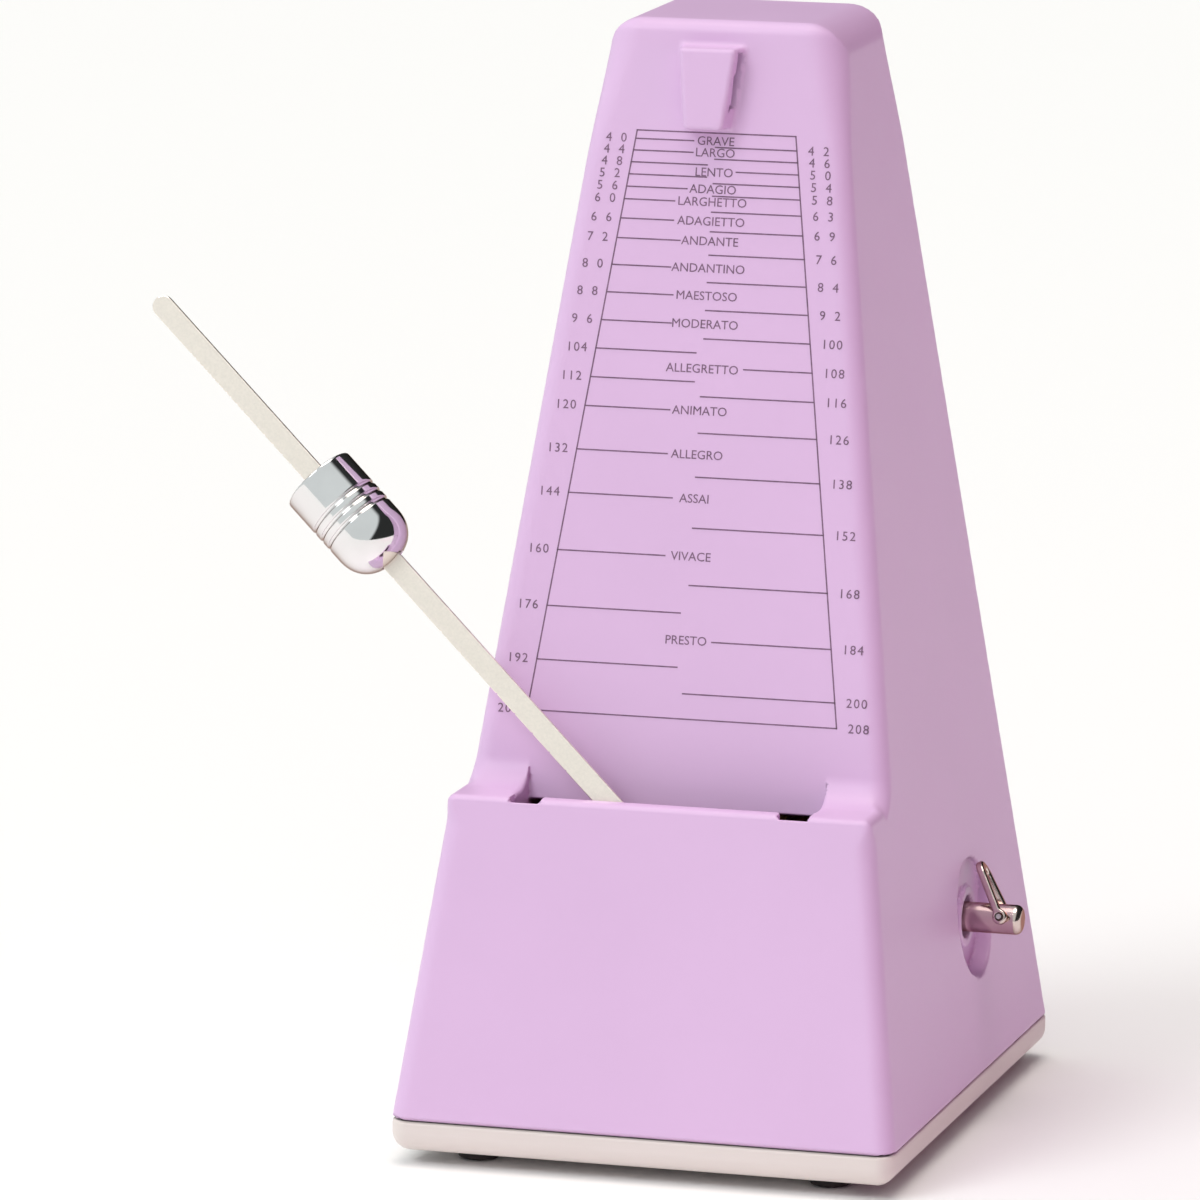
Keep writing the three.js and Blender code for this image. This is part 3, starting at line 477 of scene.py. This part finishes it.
def case_outside(x, y, z):
    """The case without its openings: planes, with a rounding at every edge."""
    block = meet(front_distance(y, z), z - SHELF, SHELF_ROUND)
    front = join(block, dial_distance(y, z), STEP_FILLET)
    back = (y - HALF_DEPTH + BACK_SLOPE * (z - SEAM)) * cosine_of(BACK_SLOPE)
    profile = meet(np.maximum(front, back), z - TOP, TOP_FRONT_ROUND)
    side = (np.abs(x) - HALF_WIDTH + SIDE_SLOPE * (z - SEAM)) * cosine_of(SIDE_SLOPE)
    near_top = smooth_step(z, *(TOP - depth for depth in TOP_ROUND_ZONE))
    near_shelf = smooth_step(z, *(SHELF - depth for depth in SHELF_ROUND_ZONE))
    on_shelf = near_shelf * smooth_step(dial_distance(y, z), *SHELF_ROUND_FROM_DIAL)
    rounding = CORNER + (TOP_SIDE_ROUND - CORNER) * near_top
    return meet(profile, side, rounding + (SHELF_SIDE_ROUND - CORNER) * on_shelf)


def key_distance(y, z):
    return np.hypot(y - KEY_Y, z - KEY_Z)


def case_hollow(x, y, z, outside):
    """The space inside the walls, less the slot's walls and the boss behind the key's recess."""
    front = front_distance(y, z)
    well = np.maximum(np.abs(x) - WELL["half"] - WELL["cheek"], SHELF - WELL["depth"] - z)
    well = np.maximum(well, -(front + PAST) - STEP * COS_TILT - WELL["back"] * WALL)
    boss = np.maximum(key_distance(y, z) - RECESS["radius"] - WALL, RECESS["floor"] - WALL - x)
    hollow = np.maximum(outside + WALL, SEAM - RUN_OUT - z)
    return np.maximum(np.maximum(hollow, -well), -boss)


def slot_opening(x, y, z):
    """The slot in the shelf for the rod: the dial runs down into it and ends just below."""
    dial = dial_distance(y, z)
    opening = meet(np.abs(x) - WELL["half"], front_distance(y, z) + WELL["front"], WELL["round"])
    opening = np.maximum(opening, np.maximum(SHELF - 2 * WELL["depth"] - z, z - SHELF - STEP))
    window = np.maximum(np.maximum(opening, z - SHELF + WELL["lintel"]), -STEP / 2 - dial)
    return np.minimum(np.maximum(opening, -dial), window)


def tab_notches(x, y, z):
    """Two pockets in the slot's front lip, each with a lowered sill in front of it."""
    front = front_distance(y, z)
    across = np.maximum(NOTCH["inner"] - np.abs(x), np.abs(x) - WELL["half"])
    along = np.maximum(front + NOTCH["front"], -front - WELL["front"] - PAST)
    sill = np.maximum(np.maximum(across, -front - NOTCH["front"] - PAST), SHELF - NOTCH["sill"] - z)
    pocket = np.maximum(np.maximum(across, along), SHELF - NOTCH["depth"] - z)
    return np.minimum(pocket, sill)


def latch(x, y, z):
    """The block that parks the rod, and its groove, open to the right."""
    low, high = SEAM + LATCH["low"], SEAM + LATCH["high"]
    across = x - LATCH["x"]
    dial = dial_distance(y, z)
    rise = (z - low) / (high - low)
    half = LATCH["half_low"] + rise * (LATCH["half_high"] - LATCH["half_low"])
    half = half + LATCH["draft"] * (LATCH["proud"] - dial)
    block = meet(np.abs(across) - half, dial - LATCH["proud"], EDGE)
    block = meet(block, np.maximum(low - z, z - high), EDGE)
    groove = np.maximum(LATCH_GAP["near"] - dial, dial - LATCH_GAP["far"])
    upright = np.maximum(z - high + LATCH_GAP["roof"], low + LATCH_GAP["foot"] - z)
    groove = np.maximum(groove, upright)
    left_wall = LATCH_GAP["wall"] - LATCH["half_high"] - across
    groove = np.maximum(groove, np.maximum(left_wall, across - LATCH_GAP["reach"]))
    return np.maximum(block, -PAST - dial), groove


def key_recess(x, y, z):
    """The dish round the key, with a collar round the shaft's hole."""
    from_key = key_distance(y, z)
    dish = np.maximum(from_key - RECESS["radius"], RECESS["floor"] - x)
    collar_top = x - RECESS["floor"] - RECESS["collar_height"]
    collar = meet(from_key - RECESS["collar"], collar_top, RECESS["collar_edge"])
    return np.maximum(dish, -collar)


def case_field(x, y, z):
    """The whole case: its outside and latch, less the hollow, the slot, the recess and so on."""
    outside = case_outside(x, y, z)
    block, groove = latch(x, y, z)
    solid = join(outside, block, EDGE)
    solid = meet(solid, SEAM - z, RIM_EDGE)
    solid = np.maximum(solid, -case_hollow(x, y, z, outside))
    fading = EDGE * smooth_step(dial_distance(y, z), *SLOT_EDGE_FROM_DIAL)
    solid = meet(solid, -slot_opening(x, y, z), fading)
    solid = np.maximum(solid, -tab_notches(x, y, z))
    solid = meet(solid, -key_recess(x, y, z), RECESS["edge"])
    hole_end = RECESS["floor"] - RECESS["hole_depth"]
    hole = np.maximum(key_distance(y, z) - RECESS["hole"], hole_end - x)
    solid = meet(solid, -hole, RECESS["edge"])
    return np.maximum(solid, -groove)


def build_case():
    """The case, sampled finely at the slot's ends, the latch, the shelf and the key's recess."""
    axes = (
        grid(-HALF_WIDTH - MARGIN, HALF_WIDTH + MARGIN, 1.1, [
            (-32, -29, 0.6), (-9, 6, 0.6), (29, 32, 0.6), (44.5, 50, 0.55),
        ]),
        grid(-HALF_DEPTH - MARGIN, HALF_DEPTH + MARGIN, 1.1, [
            (-51, -33, 0.7), (-19, -5, 0.6), (2, 29, 0.8),
        ]),
        grid(SEAM - MARGIN, TOP + MARGIN, 1.5, [
            (SEAM - 2, SEAM + 2, 0.5), (24, 51, 0.8),
            (SHELF - 7, SHELF + 9, 0.6), (SEAM + 191, TOP + 2, 0.7),
        ]),
    )
    mesh = mesh_from_field("case", case_field, axes)
    return add_object("case_moulding", mesh, "case", LILAC, ["case_shell"])


# ---- Base plate and feet ---------------------------------------------------------------------
def post_places():
    """The centres of each corner's foot, case screw and movement screw."""
    for node in CORNERS:
        foot = box_mm(f"foot_pad_{node}")
        screw = box_mm(f"case_screw_{node}")
        inner = box_mm(f"movement_screw_{node}")
        yield (sum(foot) / 2)[:2], (sum(screw) / 2)[:2], (sum(inner) / 2)[:2]


POSTS = list(post_places())


def plate_field(x, y, z):
    """A tray on four stubs, with a post for each case screw and a boss for each movement screw."""
    walls = meet(np.abs(x) - HALF_WIDTH, np.abs(y) - HALF_DEPTH, CORNER)
    plate = meet(meet(walls, -z, BASE["round"]), z - plate_high[2], RIM_EDGE)
    tray = np.maximum(walls + BASE["wall"], BASE["floor"] - z)
    for foot, screw, inner in POSTS:
        from_foot = np.hypot(x - foot[0], y - foot[1])
        from_screw = np.hypot(x - screw[0], y - screw[1])
        from_inner = np.hypot(x - inner[0], y - inner[1])
        stub = np.maximum(from_foot - BASE["stub"], plate_low[2] - z)
        plate = join(plate, np.maximum(stub, z - PAST), BASE["stub_edge"])
        tray = np.maximum(tray, CASE_POST["radius"] - from_screw)
        boss = np.maximum(from_inner - MOVEMENT_POST["radius"], z - MOVEMENT_POST["top"])
        tray = np.maximum(tray, -boss)
        counterbore = np.maximum(from_screw - CASE_POST["head"], z - CASE_POST["head_depth"])
        plate = np.maximum(plate, -counterbore)
        plate = np.maximum(plate, CASE_POST["hole"] - from_screw)
        pilot = np.maximum(from_inner - MOVEMENT_POST["hole"], MOVEMENT_POST["floor"] - z)
        plate = np.maximum(plate, -pilot)
    return np.maximum(plate, -tray)


def build_base_plate():
    edge_x, edge_y = HALF_WIDTH + MARGIN, HALF_DEPTH + MARGIN
    axes = (
        grid(-edge_x, edge_x, 2.2, [
            (-52, -30, 0.7), (-28, -18, 0.8), (18, 28, 0.8), (30, 54, 0.7),
        ]),
        grid(-edge_y, edge_y, 2.2, [
            (-64, -44, 0.7), (-26, -15, 0.8), (15, 26, 0.8), (44, 66, 0.7),
        ]),
        grid(plate_low[2] - 1, plate_high[2] + 1, 0.5),
    )
    mesh = mesh_from_field("plate", plate_field, axes)
    return add_object("base_moulding", mesh, "case", CREAM, ["base_plate"])


def lathe(name, profile, segments, place):
    """A turned body: profile holds (radius, height) pairs, both ends on the axis."""
    shape = bmesh.new()
    ends = [shape.verts.new((0, 0, profile[0][1])), shape.verts.new((0, 0, profile[-1][1]))]
    rings = []
    for radius, height in profile[1:-1]:
        angles = [2 * math.pi * k / segments for k in range(segments)]
        rings.append([
            shape.verts.new((radius * math.cos(a), radius * math.sin(a), height)) for a in angles
        ])
    for k in range(segments):
        following = (k + 1) % segments
        shape.faces.new((ends[0], rings[0][following], rings[0][k]))
        shape.faces.new((ends[1], rings[-1][k], rings[-1][following]))
        for low, high in zip(rings, rings[1:]):
            shape.faces.new((low[k], low[following], high[following], high[k]))
    mesh = bpy.data.meshes.new(name)
    shape.to_mesh(mesh)
    shape.free()
    mesh.shade_smooth()
    mesh.transform(Matrix.Scale(MM, 4) @ place)
    return mesh


def pad_profile(radius, height):
    """Half the section of a rubber pad: flat below, rounded at its lower edge."""
    rise, bend, flat = PAD["rise"], PAD["round"], PAD["flat"]
    profile = [(0, 0), (radius - PAD["lip"], 0), (radius - flat, rise)]
    for angle in np.linspace(0.2, 1.57, 6):
        profile.append((radius - bend + bend * math.sin(angle), flat - bend * math.cos(angle)))
    return profile + [(radius, height - rise), (radius - rise, height), (0, height)]


def build_feet():
    for node in CORNERS:
        low, high = box_mm(f"foot_pad_{node}")
        height = plate_low[2] - low[2] + PAD["overlap"]
        profile = pad_profile((high[0] - low[0]) / 2, height)
        place = Matrix.Translation(Vector((*((low + high) / 2)[:2], low[2])))
        mesh = lathe("pad", profile, PAD["segments"], place)
        add_object(f"rubber_{node}", mesh, "case", RUBBER, [f"foot_pad_{node}"])


# ---- Printed scale ---------------------------------------------------------------------------
def scale_height(tempo):
    """Height above the seam of a tempo's mark: nearly even, a little wider at the fast end."""
    t = (tempo - LEFT_TEMPOS[0]) / (LEFT_TEMPOS[-1] - LEFT_TEMPOS[0])
    fraction = 0.84 * t + 0.42 * t * t - 0.26 * t ** 3
    return SCALE["first"] - fraction * (SCALE["first"] - SCALE["low"])


def scale_half(height):
    rise = (height - SCALE["low"]) / (SCALE["high"] - SCALE["low"])
    return SCALE["half_low"] + rise * (SCALE["half_high"] - SCALE["half_low"])


def on_dial(x, height):
    """Places a flat drawing on the dial: its X along the dial, its Y up it, its Z out of it."""
    z = SEAM + height
    sine, cosine = math.sin(TILT), COS_TILT
    return Matrix((
        (1, 0, 0, x),
        (0, sine, -cosine, dial_y(z)),
        (0, cosine, sine, z),
        (0, 0, 0, 1),
    ))


BAR_FACES = ((0, 1, 3, 2), (4, 6, 7, 5), (0, 4, 5, 1), (2, 3, 7, 6), (1, 5, 7, 3), (0, 2, 6, 4))


def ink_line(shape, start, end):
    """A thin bar between two (x, height) points of the dial."""
    place_a, place_b = on_dial(*start), on_dial(*end)
    a, b = place_a.translation, place_b.translation
    normal = place_a.to_3x3() @ Vector((0, 0, 1))
    along = (b - a).normalized()
    across = normal.cross(along) * INK["line"] / 2
    corners = []
    for base in (a - along * INK["line"] / 2, b + along * INK["line"] / 2):
        for side in (-1, 1):
            for lift in (-INK["sunk"], INK["proud"]):
                corners.append(shape.verts.new(base + across * side + normal * lift))
    for face in BAR_FACES:
        shape.faces.new([corners[k] for k in face])


def ink_text(shape, text, size, x, height):
    """Text in Blender's own font, as a thin raised print."""
    curve = bpy.data.curves.new("print", "FONT")
    curve.body = text
    curve.size = size
    curve.align_x = "CENTER"
    curve.align_y = "CENTER"
    curve.extrude = (INK["proud"] + INK["sunk"]) / 2
    curve.resolution_u = 3
    drawing = bpy.data.objects.new("print", curve)
    mesh = bpy.data.meshes.new_from_object(drawing)
    mesh.transform(on_dial(x, height))
    shape.from_mesh(mesh)
    bpy.data.objects.remove(drawing)
    bpy.data.curves.remove(curve)
    bpy.data.meshes.remove(mesh)


def ink_number(shape, number, x, height):
    """A number with its digits spread over one width, however many there are."""
    digits = str(number)
    for place, digit in enumerate(digits):
        offset = (place / (len(digits) - 1) - 0.5) * INK["spread"]
        ink_text(shape, digit, INK["digit"], x + offset, height)


def word_width(word):
    return INK["letter"] * len(word)


def ink_tempo_lines(shape):
    """Each tempo's line and number: a line stops short of its word, and the last goes across."""
    for tempo in LEFT_TEMPOS:
        height = scale_height(tempo)
        half = scale_half(height)
        end = -INK["stop"]
        if tempo in WORDS:
            end = -0.5 * word_width(WORDS[tempo]) - INK["gap"]
        if tempo == LEFT_TEMPOS[-1]:
            end = half
        ink_line(shape, (-half, height), (end, height))
        ink_number(shape, tempo, -half - LABEL_OFFSET["left"], height)
    for tempo in RIGHT_TEMPOS:
        height = scale_height(tempo)
        half = scale_half(height)
        start = 0.0
        if tempo in WORDS:
            start = 0.5 * word_width(WORDS[tempo]) + INK["gap"]
        if tempo != LEFT_TEMPOS[-1]:
            ink_line(shape, (start, height), (half, height))
        ink_number(shape, tempo, half + LABEL_OFFSET["right"], height)


def build_scale():
    shape = bmesh.new()
    high, low = SCALE["high"], SCALE["low"]
    ink_line(shape, (-scale_half(high), high), (scale_half(high), high))
    for side in (-1, 1):
        ink_line(shape, (side * scale_half(high), high), (side * scale_half(low), low))
    ink_tempo_lines(shape)
    for tempo, word in WORDS.items():
        height = scale_height(tempo) - (INK["drop"] if tempo in LOWERED_WORDS else 0)
        ink_text(shape, word, INK["word"], 0, height)
    mesh = bpy.data.meshes.new("scale_print")
    shape.to_mesh(mesh)
    shape.free()
    mesh.transform(Matrix.Scale(MM, 4))
    return add_object("tempo_scale_print", mesh, "case", INK_MATERIAL)


# ---- Pendulum --------------------------------------------------------------------------------
def pendulum_place():
    """The pendulum's own frame at rest: X to the right, Y back along its arbor, Z up the rod."""
    swing, slide = joints["pendulum_swing"], joints["weight_slide"]
    back, up = Vector(swing["axis"]).normalized(), Vector(slide["axis"]).normalized()
    right = back.cross(up)
    turn = Matrix((right, back, up)).transposed().to_4x4()
    return Matrix.Translation(Vector(swing["pos_m"]) / MM) @ turn


PENDULUM = pendulum_place()


def notch_heights():
    """Along the rod: one notch level with each mark of the scale when the rod stands upright."""
    pivot_z = joints["pendulum_swing"]["pos_m"][2] / MM
    tempos = sorted(set(LEFT_TEMPOS + RIGHT_TEMPOS))
    return np.array([(SEAM + scale_height(tempo) - pivot_z) / COS_TILT for tempo in tempos])


NOTCHES = notch_heights()


def rod_field(x, y, z):
    """The strip: X across it, Y through it, Z along it from the arbor, with a round pad below."""
    strip = np.maximum(np.abs(x) - ROD["half"], -z - ROD["tail"])
    tip = np.hypot(x, np.maximum(z - ROD["length"] + ROD["half"], 0)) - ROD["half"]
    strip = np.maximum(strip, tip)
    pad = np.hypot(x, z + ROD["tail"]) - ROD["pad"]
    outline = join(strip, pad, ROD["pad_fillet"])
    from_notch = np.abs(z[..., None] - NOTCHES).min(axis=-1) + np.abs(x + ROD["half"])
    outline = np.maximum(outline, (ROD["notch"] - from_notch) / math.sqrt(2))
    plate = meet(outline, np.abs(y) - ROD["thick"] / 2, ROD["edge"])
    for height in (0.0, -ROD["tail"]):
        plate = np.maximum(plate, ROD["hole"] - np.hypot(x, z - height))
    return plate


def build_rod():
    axes = (
        grid(-ROD["pad"] - 0.6, ROD["pad"] + 0.6, 0.4, [(-2.5, -1.5, 0.16)]),
        grid(-0.85, 0.85, 0.14),
        grid(-ROD["tail"] - 5, ROD["length"] + 1, 0.6, [
            (NOTCHES.min() - 1, NOTCHES.max() + 1, 0.24),
        ]),
    )
    mesh = mesh_from_field("rod", rod_field, axes, place=PENDULUM)
    return add_object(
        "pendulum_strip", mesh, "pendulum", ROD_STEEL, ["pendulum_rod"],
    )


def weight_field(x, y, z):
    """A grooved cylinder with a domed lower end, slotted for the rod and its spring."""
    radius = np.hypot(x, y)
    height = z - WEIGHT["low"]
    below = np.maximum(1 - height / WEIGHT["dome"], 0)
    bulge = WEIGHT["bulge"]
    dome = ((radius / WEIGHT["radius"]) ** bulge + below ** bulge) ** (1 / bulge) - 1
    body = meet(dome * WEIGHT["radius"], height - WEIGHT["length"], WEIGHT["edge"])
    for groove in GROOVES["heights"]:
        ring = np.hypot(radius - WEIGHT["radius"], height - groove) - GROOVES["radius"]
        body = meet(body, -ring, GROOVES["edge"])
    along = np.maximum(WEIGHT_SLOT["front"] - y, y - WEIGHT_SLOT["back"])
    slot = np.maximum(np.abs(x) - WEIGHT_SLOT["half"], along)
    return meet(body, -slot, WEIGHT_SLOT["edge"])


def build_weight():
    reach = WEIGHT["radius"] + 0.8
    low = WEIGHT["low"]
    axes = (
        grid(-reach, reach, 0.34),
        grid(-reach, reach, 0.34),
        grid(low - 0.8, low + WEIGHT["length"] + 0.8, 0.36, [
            (low + 9.4, low + 15.4, 0.17), (low + 20, low + 24, 0.25),
        ]),
    )
    mesh = mesh_from_field("weight", weight_field, axes, place=PENDULUM)
    return add_object(
        "chrome_weight", mesh, "sliding_weight", WEIGHT_CHROME, ["tempo_weight"],
    )


# ---- Key -------------------------------------------------------------------------------------
PIN = np.array(joints["key_fold"]["pos_m"]) / MM
PIN_AXIS = joints["key_fold"]["axis"]
KEY_TURN = math.atan2(PIN_AXIS[2], PIN_AXIS[1])
SHAFT_END = box_mm("winding_arbor")[1][0]
ON_SHAFT = Matrix.Translation(Vector(PIN)) @ Matrix.Rotation(KEY_TURN, 4, "X")


def bail_field(x, y, z):
    """A loop of flat bar: X through its thickness, Y across it, Z from the pin to its crown."""
    crown_z = BAIL["length"] - BAIL["crown"]
    rise = np.clip((z - BAIL["shoulder"]) / (crown_z - BAIL["shoulder"]), 0, 1)
    half = BAIL["half"] + rise * (BAIL["crown"] - BAIL["half"])
    middle = half - BAIL["leg"] / 2
    loop = np.abs(np.hypot(y, np.maximum(z - crown_z, 0)) - middle) - BAIL["leg"] / 2
    bar = np.maximum(np.abs(x) - BAIL["thick"] / 2, -z)
    eye = np.hypot(x, z) - BAIL["eye"]
    solid = meet(loop, join(bar, eye, BAIL["eye_fillet"]), BAIL["round"])
    return np.maximum(solid, PIN_RADIUS - np.hypot(x, z))


def build_bail():
    axes = (grid(-2.2, 2.2, 0.2), grid(-6, 6, 0.25), grid(-2.2, 13.6, 0.25))
    place = ON_SHAFT @ Matrix.Rotation(-math.radians(BAIL["lean"]), 4, "Y")
    mesh = mesh_from_field("bail", bail_field, axes, place=place)
    return add_object("key_loop", mesh, "key", KEY_CHROME, ["key_bail"])


def shaft_field(x, y, z):
    """The winding shaft, X along it from the cross pin: stepped inside, domed at its outer end."""
    along = x + PIN[0]
    radius = np.hypot(y, z)
    ends = np.maximum(SHAFT["inner_end"] - along, along - SHAFT_END)
    solid = meet(radius - SHAFT["radius"], ends, SHAFT["dome"])
    for step_radius, start, stop in SHAFT_STEPS:
        step = np.maximum(radius - step_radius, np.maximum(start - along, along - stop))
        solid = np.minimum(solid, step)
    return meet(solid, PIN_RADIUS - np.hypot(x, z), SHAFT["pin_edge"])


def build_shaft():
    axes = (
        grid(-74.5, 4.5, 0.8, [(-4, 5, 0.25)]),
        grid(-3.6, 3.6, 0.3),
        grid(-3.6, 3.6, 0.3),
    )
    mesh = mesh_from_field("shaft", shaft_field, axes, place=ON_SHAFT)
    return add_object(
        "key_shaft", mesh, "winding_shaft", KEY_CHROME, ["winding_arbor"],
    )


# ---- Stage -----------------------------------------------------------------------------------
def direction(azimuth, elevation):
    """From the object towards a viewer; azimuth 0 is in front, and positive is to the right."""
    a, e = math.radians(azimuth), math.radians(elevation)
    return Vector((math.sin(a) * math.cos(e), -math.cos(a) * math.cos(e), math.sin(e)))


def aim(thing, azimuth, elevation, distance):
    """Puts a camera or a light in that direction from the target, facing it."""
    thing.location = (TARGET + direction(azimuth, elevation) * distance) * MM
    thing.rotation_euler = direction(azimuth, elevation).to_track_quat("Z", "Y").to_euler()
    bpy.context.scene.collection.objects.link(thing)


def add_camera():
    lens = bpy.data.cameras.new("camera")
    lens.lens = LENS["length"]
    lens.sensor_width = LENS["sensor"]
    lens.clip_start = LENS["near"]
    lens.clip_end = LENS["far"]
    camera = bpy.data.objects.new("camera", lens)
    aim(camera, **CAMERA)
    bpy.context.scene.camera = camera


def add_softbox(name, azimuth, elevation, distance, size, power, color):
    """A round area light that the polished metals don't mirror as a spot."""
    lamp = bpy.data.lights.new(name, "AREA")
    lamp.shape = "DISK"
    lamp.size = size * MM
    lamp.energy = power
    lamp.color = color
    softbox = bpy.data.objects.new(name, lamp)
    aim(softbox, azimuth, elevation, distance)
    softbox.visible_glossy = False


def add_sun(name, azimuth, elevation, spread, strength, color):
    """A light from far away, as wide in the sky as its spread in degrees."""
    lamp = bpy.data.lights.new(name, "SUN")
    lamp.angle = math.radians(spread)
    lamp.energy = strength
    lamp.color = color
    aim(bpy.data.objects.new(name, lamp), azimuth, elevation, distance=3000)


def add_floor():
    half = FLOOR["half"] * MM
    height = cad_box[0][2] - FLOOR["gap"] * MM
    mesh = bpy.data.meshes.new("floor")
    corners = [(x * half, y * half, height) for x, y in ((-1, -1), (1, -1), (1, 1), (-1, 1))]
    mesh.from_pydata(corners, [], [(0, 1, 2, 3)])
    material, _, shader = new_material("pale_floor", (0.95, 0.945, 0.945), 0.6)
    shader.inputs["Specular IOR Level"].default_value = FLOOR_SPECULAR
    mesh.materials.append(material)
    floor = bpy.data.objects.new("floor", mesh)
    bpy.context.scene.collection.objects.link(floor)


def add_world():
    """Surroundings that are bright in a wide patch at the front left, and dark elsewhere."""
    world = bpy.data.worlds.new("studio")
    world.use_nodes = True
    tree = world.node_tree
    background = tree.nodes["Background"]
    place = add_node(tree, "ShaderNodeTexCoord")
    towards = add_node(tree, "ShaderNodeVectorMath", operation="DOT_PRODUCT")
    middle = direction(SURROUNDINGS["azimuth"], SURROUNDINGS["elevation"])
    towards.inputs[1].default_value = middle
    span = add_node(tree, "ShaderNodeMapRange", interpolation_type="SMOOTHSTEP")
    for side, (low, high) in (("From", SURROUNDINGS["edge"]), ("To", SURROUNDINGS["strength"])):
        span.inputs[side + " Min"].default_value = low
        span.inputs[side + " Max"].default_value = high
    tree.links.new(place.outputs["Generated"], towards.inputs[0])
    tree.links.new(towards.outputs["Value"], span.inputs["Value"])
    tree.links.new(span.outputs["Result"], background.inputs["Strength"])
    background.inputs["Color"].default_value = (*SURROUNDINGS["color"], 1)
    bpy.context.scene.world = world


def build_stage():
    add_camera()
    add_world()
    add_floor()
    add_sun("key_light", **KEY_LIGHT)
    add_sun("top_light", **TOP_LIGHT)
    add_softbox("right_fill", **RIGHT_FILL)
    bpy.context.scene.view_settings.view_transform = "Standard"


# ---- Build -----------------------------------------------------------------------------------
build_stage()
finish_cad_nodes()
build_case()
build_base_plate()
build_feet()
build_scale()
build_rod()
build_weight()
build_bail()
build_shaft()
